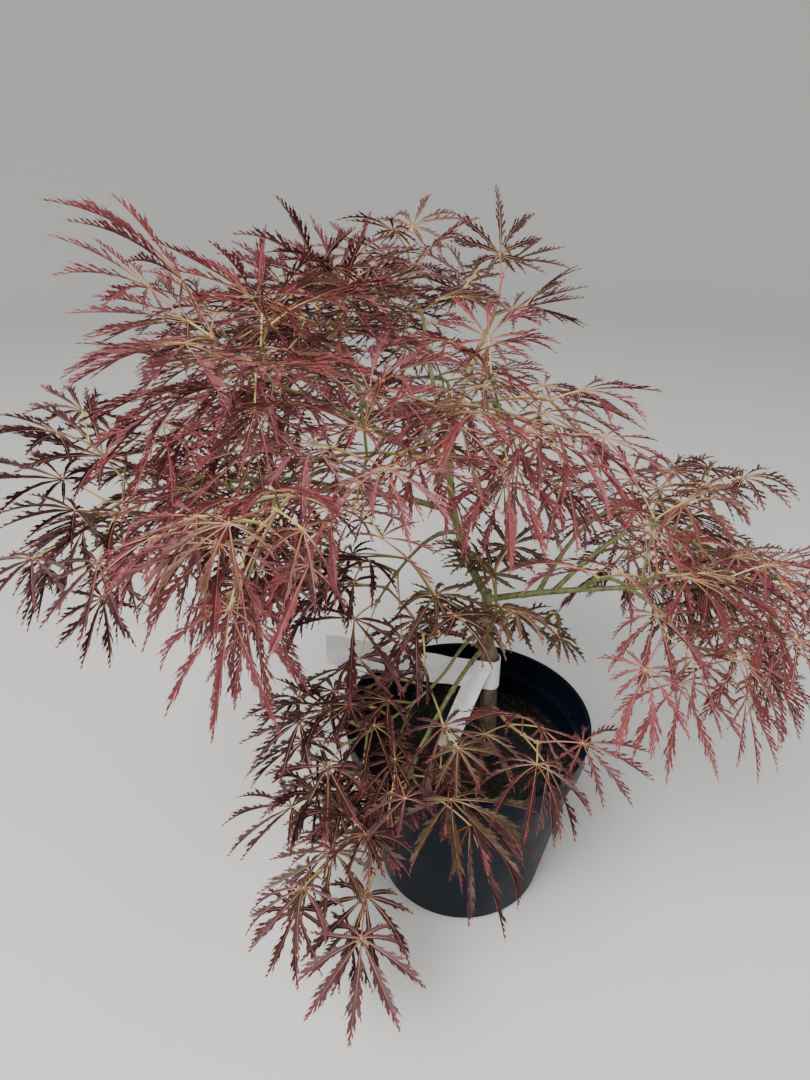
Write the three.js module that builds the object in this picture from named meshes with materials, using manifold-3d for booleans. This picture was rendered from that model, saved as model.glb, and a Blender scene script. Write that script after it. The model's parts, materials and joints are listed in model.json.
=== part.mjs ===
// A laceleaf japanese maple in a round black nursery pot.
// Millimetres, +Z up, +Y away from the viewer. The origin is the centre of the pot's flat underside.

import * as THREE from "three";
import Module from "manifold-3d";
import { mergeVertices } from "three/addons/utils/BufferGeometryUtils.js";

const wasm = await Module();
wasm.setup();

// Pot and compost
const POT_RADIUS = 95;
const POT_HEIGHT = 154;
const BASE_RADIUS = 65.5;
const BASE_CHAMFER = 3;
const WALL = 1.8;
const FLOOR = 2.4;
const COLLAR_DEPTH = 24;
const COLLAR_STEP = 4.2;
const COLLAR_FLARE = 0.6;
const LIP_OUT = 1.6;
const LIP_DEPTH = 4;
const LIP_ROUND = 1;
const RIDGE_OUT = 1.4;
const RIDGE_DEPTH = 4;
const COMPOST_TOP = 120;
const COMPOST_DIP = 3;
const COMPOST_FLAT = 0.6;
const POT_SIDES = 32;

// Fits
const SEAT_GAP = 0.3;
const MERGE_DISTANCE = 1e-4;

// Trunk
const TRUNK_FOOT = [17, 2, COMPOST_TOP + SEAT_GAP];
const FLARE_RADIUS = 10.5;
const FLARE_HEIGHT = 15;
const STOCK_RADIUS = 6.4;
const GRAFT_SHARE = 0.62;
const GRAFT_RADIUS = 6.9;
const SCION_RADIUS = 4.4;
const TRUNK_TOP_RADIUS = 3.7;
const GRAFT_BAND = 0.05;
const STUB_LENGTH = 12;
const STUB_RADIUS = 3.4;
const STUB_HEADING = [-0.8, 0.35, 0.5];

// Blank plant label: a thin strip looped round the trunk, with one end hanging in front
const LABEL_THICKNESS = 0.9;
const LABEL_WIDTH = 25;
const LABEL_LEVEL = 184.5;
const LABEL_SLOPE = 0.15;
const LABEL_STRIP = [
  [-106, -13],
  [-80, -10],
  [-52, -12],
  [-20, -10],
];
const LABEL_SHARE = 0.52;
const LABEL_LOOP = 8.2;
const LABEL_LOOP_STEP = 45;
const LABEL_LOOP_END = 135;
const LABEL_TAIL = [
  [-0.2, 203],
  [6, 196],
  [14, 183],
  [23, 168],
  [31, 154],
  [35, 144],
];
const LABEL_GUARDS = [0.15, 0.5, 0.85];
const LABEL_GUARD_RADIUS = 3.6;
const LABEL_TAIL_WIDTH = 17;
const LABEL_TAIL_HEADING = -132;

// Limbs: each bough leaves its parent's axis at a share of its length and ends where its foliage starts
const LIMBS = [
  { name: "trunk", tip: [9, 0, 266], lift: [3, 0, 4], root: STOCK_RADIUS, end: TRUNK_TOP_RADIUS },
  { name: "leader", from: "trunk", share: 0.97, tip: [-1, 84, 430], lift: [-50, -40, 6],
    root: 3.2, end: 1.5 },
  { name: "left_bough", from: "leader", share: 0.34, tip: [-118, -34, 352], lift: [0, 0, 12],
    root: 2.4, end: 1.4 },
  { name: "far_left_bough", from: "left_bough", share: 0.66, tip: [-188, -46, 352], lift: [0, 8, 16],
    root: 1.7, end: 1.2 },
  { name: "left_front_bough", from: "left_bough", share: 0.46, tip: [-94, -102, 390], lift: [-6, -6, 26],
    root: 1.7, end: 1.2 },
  { name: "upper_left_bough", from: "leader", share: 0.46, tip: [-112, -26, 414], lift: [-4, 0, 14],
    root: 2.1, end: 1.4 },
  { name: "mid_left_bough", from: "upper_left_bough", share: 0.36, tip: [-60, -48, 392], lift: [0, 0, 12],
    root: 1.6, end: 1.2 },
  { name: "upper_mid_bough", from: "upper_left_bough", share: 0.52, tip: [-88, 4, 424], lift: [0, 0, 6],
    root: 1.6, end: 1.2 },
  { name: "centre_top_bough", from: "leader", share: 0.6, tip: [0, 2, 404], lift: [0, 0, 10],
    root: 1.8, end: 1.2 },
  { name: "top_mid_bough", from: "leader", share: 0.56, tip: [-44, 62, 438], lift: [-6, 0, 8],
    root: 1.8, end: 1.2 },
  { name: "inner_bough", from: "leader", share: 0.26, tip: [-36, -18, 310], lift: [0, 0, 8],
    root: 1.8, end: 1.2 },
  { name: "trunk_spur", from: "trunk", share: 0.84, tip: [14, -15, 252], lift: [0, 0, 2],
    root: 1.7, end: 1.2 },
  { name: "over_pot_bough", from: "trunk", share: 0.76, tip: [-12, -34, 228], lift: [0, 0, 12],
    root: 1.6, end: 1.1 },
  { name: "low_front_bough", from: "trunk", share: 0.68, tip: [-34, -84, 176], lift: [0, -8, 28],
    root: 1.8, end: 1.3 },
  { name: "bottom_bough", from: "low_front_bough", share: 0.66, tip: [-46, -106, 132], lift: [-6, -10, 16],
    root: 1.4, end: 1.1 },
  { name: "front_right_bough", from: "trunk", share: 0.28, tip: [26, -27, 176], lift: [0, 0, 4],
    root: 1.7, end: 1.2 },
  { name: "right_bough", from: "trunk", share: 0.95, tip: [140, -20, 290], lift: [-4, -4, 9],
    root: 2.5, end: 1.4 },
  { name: "right_upper_bough", from: "right_bough", share: 0.36, tip: [104, 6, 318], lift: [0, 0, 8],
    root: 1.9, end: 1.2 },
  { name: "right_mid_bough", from: "right_bough", share: 0.5, tip: [92, -34, 300], lift: [0, 0, 10],
    root: 1.7, end: 1.2 },
  { name: "right_low_bough", from: "right_bough", share: 0.72, tip: [134, -42, 268], lift: [4, -6, 8],
    root: 1.5, end: 1.2 },
  { name: "back_left_bough", from: "leader", share: 0.5, tip: [-88, 70, 392], lift: [0, 0, 14],
    root: 1.9, end: 1.2 },
  { name: "back_mid_bough", from: "leader", share: 0.6, tip: [-28, 112, 380], lift: [0, 0, 8],
    root: 1.8, end: 1.2 },
  { name: "back_right_bough", from: "right_bough", share: 0.28, tip: [98, 74, 298], lift: [0, 8, 18],
    root: 1.9, end: 1.2 },
];
const LIMB_STEPS = 6;
const SHORT_BOUGH = 70;
const SHORT_BOUGH_STEPS = 3;
const BOUGH_SIDES = 5;
const TRUNK_SIDES = 9;
const TRUNK_STEPS = 18;

// Foliage: each mass grows on one stem from its bough's tip, with leaves in opposite pairs at its nodes
const MASSES = [
  { name: "top_left", bough: "upper_left_bough", tip: [-148, -70, 458], nodes: 4, lobe: 84,
    petiole: 30, hang: 0.42, rise: 0, reach: 108, seed: 11, tint: "red" },
  { name: "upper_mid_left", bough: "upper_mid_bough", tip: [-106, 12, 456], nodes: 4, lobe: 68,
    petiole: 28, hang: 0.42, rise: 0.02, reach: 100, seed: 12, tint: "wine" },
  { name: "far_left", bough: "far_left_bough", tip: [-240, -46, 344], nodes: 4, lobe: 70,
    petiole: 30, hang: 0.42, rise: 0, reach: 95, seed: 13, tint: "brown" },
  { name: "left_mid", bough: "left_bough", tip: [-150, -56, 352], nodes: 4, lobe: 68,
    petiole: 28, hang: 0.6, rise: 0, reach: 96, seed: 14, tint: "wine" },
  { name: "left_front", bough: "left_front_bough", tip: [-110, -160, 382], nodes: 4, lobe: 74,
    petiole: 30, hang: 0.85, rise: 0, reach: 92, seed: 15, tint: "pink" },
  { name: "mid_left", bough: "mid_left_bough", tip: [-66, -98, 404], nodes: 3, lobe: 66,
    petiole: 26, hang: 0.5, rise: 0, reach: 98, seed: 16, tint: "red" },
  { name: "centre_top", bough: "centre_top_bough", tip: [8, -56, 412], nodes: 4, lobe: 72,
    petiole: 30, hang: 0.55, rise: 0, reach: 105, seed: 17, tint: "pink" },
  { name: "top_sprout", bough: "leader", tip: [8, 118, 464], nodes: 2, lobe: 54,
    petiole: 18, hang: 0.3, rise: 0.1, reach: 88, seed: 45, tint: "young" },
  { name: "top_mid", bough: "top_mid_bough", tip: [-60, 88, 456], nodes: 3, lobe: 62,
    petiole: 28, hang: 0.42, rise: 0, reach: 88, seed: 19, tint: "wine" },
  { name: "centre", bough: "inner_bough", tip: [-62, -62, 288], nodes: 4, lobe: 70,
    petiole: 30, hang: 0.65, rise: 0, reach: 88, seed: 20, tint: "brown" },
  { name: "trunk_sprout", bough: "trunk_spur", tip: [13, -31, 303], nodes: 3, lobe: 50,
    petiole: 20, hang: 0.5, rise: 0, reach: 82, seed: 21, tint: "olive" },
  { name: "over_pot", bough: "over_pot_bough", tip: [-84, -84, 188], nodes: 5, lobe: 64,
    petiole: 26, hang: 0.65, rise: 0, reach: 100, seed: 22, tint: "brown" },
  { name: "front", bough: "low_front_bough", tip: [-16, -106, 170], nodes: 2, lobe: 88,
    petiole: 24, hang: 0.9, rise: 0, reach: 92, seed: 17, tint: "brown" },
  { name: "front_bottom", bough: "bottom_bough", tip: [-88, -108, 146], nodes: 4, lobe: 70,
    petiole: 26, hang: 0.58, rise: 0, reach: 84, seed: 25, tint: "brown" },
  { name: "front_right", bough: "front_right_bough", tip: [50, -66, 188], nodes: 3, lobe: 58,
    petiole: 24, hang: 0.62, rise: 0, reach: 86, seed: 37, tint: "wine" },
  { name: "right_far", bough: "right_bough", tip: [196, -34, 292], nodes: 4, lobe: 70,
    petiole: 28, hang: 0.75, rise: 0, reach: 88, seed: 27, tint: "red" },
  { name: "right_upper", bough: "right_upper_bough", tip: [152, 8, 308], nodes: 4, lobe: 60,
    petiole: 28, hang: 0.5, rise: 0, reach: 94, seed: 28, tint: "young" },
  { name: "right_mid", bough: "right_mid_bough", tip: [108, -68, 328], nodes: 4, lobe: 70,
    petiole: 28, hang: 0.6, rise: 0, reach: 98, seed: 29, tint: "pink" },
  { name: "right_low", bough: "right_low_bough", tip: [160, -62, 270], nodes: 3, lobe: 70,
    petiole: 28, hang: 0.8, rise: 0, reach: 84, seed: 30, tint: "red" },
  { name: "back_left", bough: "back_left_bough", tip: [-162, 112, 382], nodes: 4, lobe: 72,
    petiole: 30, hang: 0.5, rise: 0, reach: 105, seed: 31, tint: "wine" },
  { name: "back_mid", bough: "back_mid_bough", tip: [-48, 172, 370], nodes: 4, lobe: 72,
    petiole: 30, hang: 0.5, rise: 0, reach: 100, seed: 32, tint: "red" },
  { name: "back_right", bough: "back_right_bough", tip: [150, 118, 266], nodes: 4, lobe: 70,
    petiole: 30, hang: 0.6, rise: 0, reach: 95, seed: 33, tint: "wine" },
];

// Openings in the crown that leaves keep out of, each a thick line
const OPENINGS = [
  { from: [-107, -13, 214], to: [-54, -254, 390], radius: 15 },
  { from: [72, 30, 150], to: [52, -200, 330], radius: 24 },
  { from: [88, 30, 236], to: [46, -220, 394], radius: 19 },
  { from: [-59, -95, 330], to: [-29, -300, 451], radius: 18 },
  { from: [-15, -24, 218], to: [-6, -300, 422], radius: 14 },
];

// Leaf: seven narrow lobes round a small hub, the middle one longest
const LOBE_FAN = [
  { angle: -98, size: 0.58, isShort: true },
  { angle: -62, size: 0.84 },
  { angle: -31, size: 0.96 },
  { angle: 0, size: 1 },
  { angle: 31, size: 0.96 },
  { angle: 62, size: 0.84 },
  { angle: 98, size: 0.58, isShort: true },
];
const LOBE_CUTS = [1, 0.87, 0.74, 0.61, 0.48];
const [NECK_TOP, NECK_LEFT, NECK_RIGHT, ROOT_TOP, ROOT_LEFT, ROOT_RIGHT] = [2, 3, 4, 5, 6, 7];
const FEWEST_LOBES = 4;
const LOBE_HALF_WIDTH = 0.062;
const LOBE_WIDEST = 0.44;
const LOBE_RIDGE = 1.5;
const HUB_HALF_HEIGHT = 1.2;
const HUB_NOTCH = 5;
const STEM_ROOT_RADIUS = 1.5;
const STEM_TIP_RADIUS = 1;
const PETIOLE_RADIUS = 0.95;
const CORNER_SPREAD = Math.sqrt(3) / 2;
const TWIG_SIDES = 3;
const STEM_STEPS = 5;
const STEM_CARRY = 0.4;
const FIRST_NODE = 0.3;
const LAST_NODE = 0.97;

// How a leaf stands off its stem
const PAIR_CROSS = 90;
const PAIR_TURN = 25;
const SIDE_LEAF_ALONG = 0.45;
const END_LEAF_ALONG = 1.1;
const OVER_SHARE = 0.7;
const LEAF_LIFT = 0.15;
const PETIOLE_STRETCH = [0.8, 1.35];
const PETIOLE_SAG = 0.12;
const HANG_TURN = 0.55;
const RISE_TURN = 0.6;
const LEAF_SWING = 0.22;
const LEAF_TILT = 0.2;
const LEAF_GROWTH = [0.86, 1.08];
const LOBE_TURN = 5;
const LOBE_DROP = 1.1;
const FALL_SPREAD = 0.12;
const LEAST_FALL = 0.05;
const MOST_FALL = 0.95;

// Seeded draws
const SEED_FACTOR = 7919;
const DRAW_FACTOR = 1664525;
const DRAW_STEP = 1013904223;
const DRAW_RANGE = 4294967296;

// Free space that a leaf keeps on every side
const HUB_CLEARANCE = 4;
const PETIOLE_CLEARANCE = 1.5;
const LOBE_CLEARANCES = [
  { share: 0.3, gap: 3 },
  { share: 0.5, gap: 4.8 },
  { share: 0.75, gap: 2.6 },
  { share: 1, gap: 1 },
];
const LOBE_SPAN_RADIUS = 2.5;
const LOWEST_LEAF = 8;
const MOUTH_INSET = 11;
const CELL_CENTRE = 0.72;

// Looks
const TINTS = {
  red: 0x7a2130,
  wine: 0x55202f,
  brown: 0x5b3328,
  pink: 0x94344a,
  olive: 0x4c3a26,
  young: 0x8a3a36,
};
const POT_LOOK = { color: 0x111214, roughness: 0.38 };
const COMPOST_LOOK = { color: 0x2c2018, roughness: 0.95 };
const LABEL_LOOK = { color: 0xf2f2ee, roughness: 0.5 };
const BARK_LOOK = { color: 0x6d5f50, roughness: 0.75 };
const GREEN_WOOD_LOOK = { color: 0x75803f, roughness: 0.75 };
const LEAF_ROUGHNESS = 0.7;

const UP = new THREE.Vector3(0, 0, 1);
const radians = THREE.MathUtils.degToRad;
const vector = (list) => new THREE.Vector3(...list);
const shifted = (place, direction, distance) => place.clone().addScaledVector(direction, distance);

// Solids
function toSolid(geometry) {
  geometry.deleteAttribute("normal");
  geometry.deleteAttribute("uv");
  const merged = mergeVertices(geometry, MERGE_DISTANCE);
  const vertProperties = new Float32Array(merged.attributes.position.array);
  const triVerts = new Uint32Array(merged.index.array);
  return new wasm.Manifold(new wasm.Mesh({ numProp: 3, vertProperties, triVerts }));
}

function toGeometry(solid) {
  const mesh = solid.getMesh();
  const geometry = new THREE.BufferGeometry();
  geometry.setAttribute("position", new THREE.BufferAttribute(new Float32Array(mesh.vertProperties), 3));
  geometry.setIndex(new THREE.BufferAttribute(new Uint32Array(mesh.triVerts), 1));
  return geometry;
}

// The largest closed body, without loose scraps and with its sealed hollows filled
function largestBody(solid) {
  return solid.decompose().reduce((best, body) => (body.volume() > best.volume() ? body : best));
}

function piece(name, solid, look) {
  const mesh = new THREE.Mesh(toGeometry(solid), new THREE.MeshStandardMaterial({ ...look, metalness: 0 }));
  mesh.name = name;
  return mesh;
}

// A tube of changing radius whose rings stand square to its path
function taperedTube(path, radiusAt, sides, steps) {
  const tube = new THREE.CylinderGeometry(1, 1, 1, sides, steps);
  const places = tube.attributes.position;
  const frames = pathFrames(path, steps);
  for (let i = 0; i < places.count; i += 1) {
    const share = places.getY(i) + 0.5;
    const frame = frames[Math.round(share * steps)];
    const radius = radiusAt(share);
    const place = frame.place.clone();
    place.addScaledVector(frame.normal, places.getZ(i) * radius);
    place.addScaledVector(frame.side, places.getX(i) * radius);
    places.setXYZ(i, place.x, place.y, place.z);
  }
  return toSolid(tube);
}

// Frames that turn no more than the path does
function pathFrames(path, steps) {
  const frames = [];
  let normal = new THREE.Vector3(0, -1, 0);
  for (let step = 0; step <= steps; step += 1) {
    const heading = path.getTangent(step / steps);
    normal = shifted(normal, heading, -normal.dot(heading)).normalize();
    const side = heading.clone().cross(normal);
    frames.push({ place: path.getPoint(step / steps), normal, side });
  }
  return frames;
}

function archedPath(start, end, lift) {
  const middle = start.clone().add(end).multiplyScalar(0.5).add(lift);
  return new THREE.QuadraticBezierCurve3(start, middle, end);
}

// Pot
function pot() {
  const shoulder = POT_HEIGHT - COLLAR_DEPTH;
  const wallSlope = (POT_RADIUS - LIP_OUT - COLLAR_STEP - BASE_RADIUS) / shoulder;
  const bodyRadius = (height) => BASE_RADIUS + wallSlope * height;
  const collarRadius = POT_RADIUS - LIP_OUT;
  const lipUnder = POT_HEIGHT - LIP_DEPTH;
  const profile = [
    [0, 0],
    [BASE_RADIUS - BASE_CHAMFER, 0],
    [bodyRadius(BASE_CHAMFER), BASE_CHAMFER],
    [bodyRadius(shoulder), shoulder],
    [collarRadius - COLLAR_FLARE, shoulder + RIDGE_DEPTH / 2],
    [collarRadius, lipUnder],
    [POT_RADIUS, lipUnder + LIP_ROUND],
    [POT_RADIUS, POT_HEIGHT - LIP_ROUND],
    [POT_RADIUS - LIP_ROUND, POT_HEIGHT],
    [collarRadius - WALL, POT_HEIGHT],
    [collarRadius - COLLAR_FLARE - WALL, shoulder + RIDGE_DEPTH],
    [bodyRadius(shoulder) - WALL - RIDGE_OUT, shoulder + RIDGE_DEPTH / 2],
    [bodyRadius(shoulder - RIDGE_DEPTH) - WALL, shoulder - RIDGE_DEPTH],
    [bodyRadius(FLOOR) - WALL, FLOOR],
    [0, FLOOR],
  ];
  const innerRadius = (height) => bodyRadius(height) - WALL;
  return { solid: turned(profile), innerRadius };
}

function turned(profile) {
  const outline = profile.map(([radius, height]) => new THREE.Vector2(radius, height));
  const geometry = new THREE.LatheGeometry(outline, POT_SIDES);
  geometry.rotateX(Math.PI / 2);
  return toSolid(geometry);
}

function compost(innerRadius) {
  const foot = FLOOR + SEAT_GAP;
  const edge = COMPOST_TOP - COMPOST_DIP;
  const flat = innerRadius(edge) * COMPOST_FLAT;
  const profile = [
    [0, foot],
    [innerRadius(foot) - SEAT_GAP, foot],
    [innerRadius(edge) - SEAT_GAP, edge],
    [flat, COMPOST_TOP],
    [0, COMPOST_TOP],
  ];
  return turned(profile);
}

// Limbs
function limbPaths() {
  const paths = new Map();
  for (const limb of LIMBS) {
    const start = limb.from ? paths.get(limb.from).getPoint(limb.share) : vector(TRUNK_FOOT);
    paths.set(limb.name, archedPath(start, vector(limb.tip), vector(limb.lift)));
  }
  return paths;
}

function trunkRadius(share, height) {
  const flare = Math.max(0, 1 - height / FLARE_HEIGHT);
  const foot = STOCK_RADIUS + (FLARE_RADIUS - STOCK_RADIUS) * flare * flare;
  const knob = Math.max(0, 1 - Math.abs(share - GRAFT_SHARE) / GRAFT_BAND);
  if (share <= GRAFT_SHARE) {
    return Math.max(foot, STOCK_RADIUS + (GRAFT_RADIUS - STOCK_RADIUS) * knob);
  }
  const above = (share - GRAFT_SHARE) / (1 - GRAFT_SHARE);
  const scion = SCION_RADIUS + (TRUNK_TOP_RADIUS - SCION_RADIUS) * above;
  return scion + (GRAFT_RADIUS - scion) * knob;
}

function limbRadius(limb, path, share) {
  if (limb.name === "trunk") {
    return trunkRadius(share, path.getPoint(share).z - TRUNK_FOOT[2]);
  }
  return limb.root + (limb.end - limb.root) * share;
}

function limbSolid(limb, path, extra) {
  const isTrunk = limb.name === "trunk";
  const sides = isTrunk ? TRUNK_SIDES : BOUGH_SIDES;
  const boughSteps = path.getLength() < SHORT_BOUGH ? SHORT_BOUGH_STEPS : LIMB_STEPS;
  const steps = isTrunk ? TRUNK_STEPS : boughSteps;
  const radiusAt = (share) => limbRadius(limb, path, share) + extra;
  const tube = taperedTube(path, radiusAt, sides, steps);
  return isTrunk ? tube.add(graftStub(path, extra)) : tube;
}

// The cut end of the old leader, left standing at the graft
function graftStub(path, extra) {
  const start = path.getPoint(GRAFT_SHARE);
  const end = shifted(start, vector(STUB_HEADING).normalize(), STUB_LENGTH + extra);
  return taperedTube(new THREE.LineCurve3(start, end), () => STUB_RADIUS + extra, BOUGH_SIDES, 1);
}

// Growth rule
function seededDraw(seed) {
  let state = seed * SEED_FACTOR;
  return (low, high) => {
    state = (state * DRAW_FACTOR + DRAW_STEP) % DRAW_RANGE;
    return low + ((high - low) * state) / DRAW_RANGE;
  };
}

function limbSpans(paths) {
  const spans = [];
  for (const limb of LIMBS) {
    const path = paths.get(limb.name);
    for (let step = 0; step < LIMB_STEPS; step += 1) {
      const share = step / LIMB_STEPS;
      const from = path.getPoint(share);
      const to = path.getPoint(share + 1 / LIMB_STEPS);
      const radius = limbRadius(limb, path, share);
      spans.push({ owner: limb.name, line: new THREE.Line3(from, to), radius });
    }
  }
  return spans;
}

function stemPaths(paths) {
  const stems = new Map();
  for (const mass of MASSES) {
    const bough = paths.get(mass.bough);
    const heading = bough.getTangent(1);
    const start = shifted(bough.getPoint(1), heading, SEAT_GAP);
    const tip = vector(mass.tip);
    const middle = shifted(start, heading, STEM_CARRY * start.distanceTo(tip));
    stems.set(mass.name, new THREE.QuadraticBezierCurve3(start, middle, tip));
  }
  return stems;
}

function stemSpans(stems) {
  const spans = [];
  for (const [name, stem] of stems) {
    for (let step = 0; step < STEM_STEPS; step += 1) {
      const from = stem.getPoint(step / STEM_STEPS);
      const to = stem.getPoint((step + 1) / STEM_STEPS);
      spans.push({ owner: name, line: new THREE.Line3(from, to), radius: STEM_ROOT_RADIUS });
    }
  }
  return spans;
}

// How far a place lies inside its mass's own cell; cells share walls set by the masses' centres and reaches
function cellRoom(mass, place, centres) {
  const centre = centres.get(mass.name);
  let room = Infinity;
  for (const other of MASSES) {
    if (other !== mass) {
      const across = centres.get(other.name).clone().sub(centre);
      const length = across.length();
      const wall = (length * length + mass.reach ** 2 - other.reach ** 2) / (2 * length);
      room = Math.min(room, wall - place.clone().sub(centre).dot(across) / length);
    }
  }
  return room;
}

function spanGap(place, spans, owner) {
  const nearest = new THREE.Vector3();
  let gap = Infinity;
  for (const span of spans) {
    if (span.owner !== owner) {
      span.line.closestPointToPoint(place, true, nearest);
      gap = Math.min(gap, nearest.distanceTo(place) - span.radius);
    }
  }
  return gap;
}

function potGap(place) {
  const radius = Math.hypot(place.x, place.y);
  const mouth = POT_RADIUS - MOUTH_INSET;
  if (radius > POT_RADIUS) {
    return radius - POT_RADIUS;
  }
  if (place.z > POT_HEIGHT) {
    return place.z - POT_HEIGHT;
  }
  return Math.min(place.z - COMPOST_TOP, mouth - radius);
}

const openingSpans = OPENINGS.map(({ from, to, radius }) => ({
  owner: "opening",
  line: new THREE.Line3(vector(from), vector(to)),
  radius,
}));

function growMass(mass, stem, spans, centres) {
  const draw = seededDraw(mass.seed);
  const isClear = (place, gap) =>
    place.z > LOWEST_LEAF &&
    potGap(place) > gap &&
    spanGap(place, openingSpans, mass.name) > 0 &&
    cellRoom(mass, place, centres) > gap &&
    spanGap(place, spans, mass.name) > gap;
  const leaves = [];
  const taken = [];
  for (let node = 0; node < mass.nodes; node += 1) {
    const share = Math.min(LAST_NODE, FIRST_NODE + ((1 - FIRST_NODE) * node) / (mass.nodes - 1));
    const along = node === mass.nodes - 1 ? END_LEAF_ALONG : SIDE_LEAF_ALONG;
    const turn = radians((node % 2 ? PAIR_CROSS : 0) + draw(-PAIR_TURN, PAIR_TURN));
    for (const half of [0, Math.PI]) {
      const place = nodeFrame(mass, stem, share, turn + half, along);
      const leaf = growLeaf(mass, place, drawLeaf(draw), isClear, taken);
      if (leaf) {
        leaves.push(leaf);
        taken.push(...leafSpans(leaf));
      }
    }
  }
  return leaves;
}

// The lines that later leaves of the same mass keep clear of
function leafSpans(leaf) {
  const spans = [{ owner: "leaf", line: new THREE.Line3(leaf.root, leaf.hub), radius: PETIOLE_RADIUS }];
  for (const lobe of leaf.lobes) {
    const shares = [0, ...LOBE_CLEARANCES.map(({ share }) => share)];
    const places = shares.map((share) => lobe.path.getPoint(share));
    for (let i = 1; i < places.length; i += 1) {
      const line = new THREE.Line3(places[i - 1], places[i]);
      spans.push({ owner: "leaf", line, radius: LOBE_SPAN_RADIUS });
    }
  }
  return spans;
}

// Where a leaf leaves its stem: its root, the level direction across the stem, and its way out
function nodeFrame(mass, stem, share, turn, alongShare) {
  const along = stem.getTangent(share);
  const side = along.clone().cross(UP).normalize();
  const over = side.clone().cross(along);
  const out = along.clone().multiplyScalar(alongShare);
  out.addScaledVector(side, Math.cos(turn));
  out.addScaledVector(over, Math.sin(turn) * OVER_SHARE);
  out.addScaledVector(UP, LEAF_LIFT + mass.rise).normalize();
  return { root: stem.getPoint(share), side, out };
}

// Every leaf takes its draws in this order, also one that is skipped later
function drawLeaf(draw) {
  return {
    stretch: draw(...PETIOLE_STRETCH),
    swing: draw(-LEAF_SWING, LEAF_SWING),
    tilt: draw(-LEAF_TILT, LEAF_TILT),
    growth: draw(...LEAF_GROWTH),
    fall: draw(-FALL_SPREAD, FALL_SPREAD),
    turns: LOBE_FAN.map(() => draw(-LOBE_TURN, LOBE_TURN)),
  };
}

function growLeaf(mass, { root, side, out }, chance, isClear, taken) {
  const length = mass.petiole * chance.stretch;
  const hub = shifted(shifted(root, out, length), UP, -PETIOLE_SAG * length);
  if (!isClear(hub, HUB_CLEARANCE) || !isClear(shifted(root, out, length / 2), PETIOLE_CLEARANCE)) {
    return null;
  }
  const leaf = { root, hub, ...leafDirections(mass, side, out, chance), lobes: [] };
  const fall = THREE.MathUtils.clamp(mass.hang + chance.fall, LEAST_FALL, MOST_FALL);
  const isFree = (path) =>
    LOBE_CLEARANCES.every(({ share, gap }) => {
      const place = path.getPoint(share);
      return isClear(place, gap) && spanGap(place, taken) > 0;
    });
  LOBE_FAN.forEach((lobe, i) => {
    const angle = radians(lobe.angle + chance.turns[i]);
    const heading = aimed(leaf, angle);
    const full = mass.lobe * lobe.size * chance.growth;
    const path = LOBE_CUTS.map((share) => lobePath(hub, heading, full * share, fall)).find(isFree);
    if (path) {
      leaf.lobes.push({ angle, path, width: full * LOBE_HALF_WIDTH, isShort: lobe.isShort });
    }
  });
  return leaf.lobes.length >= FEWEST_LOBES ? leaf : null;
}

function leafDirections(mass, side, out, chance) {
  const forward = shifted(out, UP, RISE_TURN * mass.rise - HANG_TURN * mass.hang);
  forward.addScaledVector(side, chance.swing).normalize();
  const level = forward.clone().cross(UP).normalize();
  const face = level.clone().cross(forward).addScaledVector(level, chance.tilt).normalize();
  const flat = face.clone().cross(forward).normalize();
  return { forward, face, flat };
}

// A direction in the leaf's own plane
function aimed(leaf, angle) {
  return leaf.forward.clone().multiplyScalar(Math.cos(angle)).addScaledVector(leaf.flat, Math.sin(angle));
}

// A lobe leaves its hub straight and then falls under its own weight
function lobePath(hub, heading, length, fall) {
  const elbow = shifted(hub, heading, length / 2);
  const drop = heading.clone().multiplyScalar(1 - fall).addScaledVector(UP, -LOBE_DROP * fall).normalize();
  return new THREE.QuadraticBezierCurve3(hub, elbow, shifted(elbow, drop, length / 2));
}

// One leaf: a closed star with a raised rib along each long lobe, drawn out behind into its stalk
function leafSolid(leaf) {
  const { hub, face, lobes } = leaf;
  const corners = [shifted(hub, face, HUB_HALF_HEIGHT), shifted(hub, face, -HUB_HALF_HEIGHT)];
  const [top, under] = [0, 1];
  const faces = stalkFaces(leaf, corners, top, under);
  let before = NECK_RIGHT;
  lobes.forEach((lobe, i) => {
    const isLast = i === lobes.length - 1;
    const after = isLast ? NECK_LEFT : corners.length;
    if (!isLast) {
      corners.push(hubNotch(leaf, (lobe.angle + lobes[i + 1].angle) / 2));
    }
    const tip = corners.length;
    corners.push(lobe.path.getPoint(1));
    if (lobe.isShort) {
      faces.push([top, before, tip], [top, tip, after], [under, tip, before], [under, after, tip]);
    } else {
      const [right, left, rib] = ribCorners(lobe, face, corners);
      faces.push([top, before, right], [top, right, rib], [top, rib, left], [top, left, after]);
      faces.push([rib, right, tip], [rib, tip, left], [right, left, tip]);
      faces.push([under, right, before], [under, left, right], [under, after, left]);
    }
    before = after;
  });
  const geometry = new THREE.BufferGeometry().setFromPoints(corners);
  geometry.setIndex(faces.flat());
  return toSolid(geometry);
}

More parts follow.
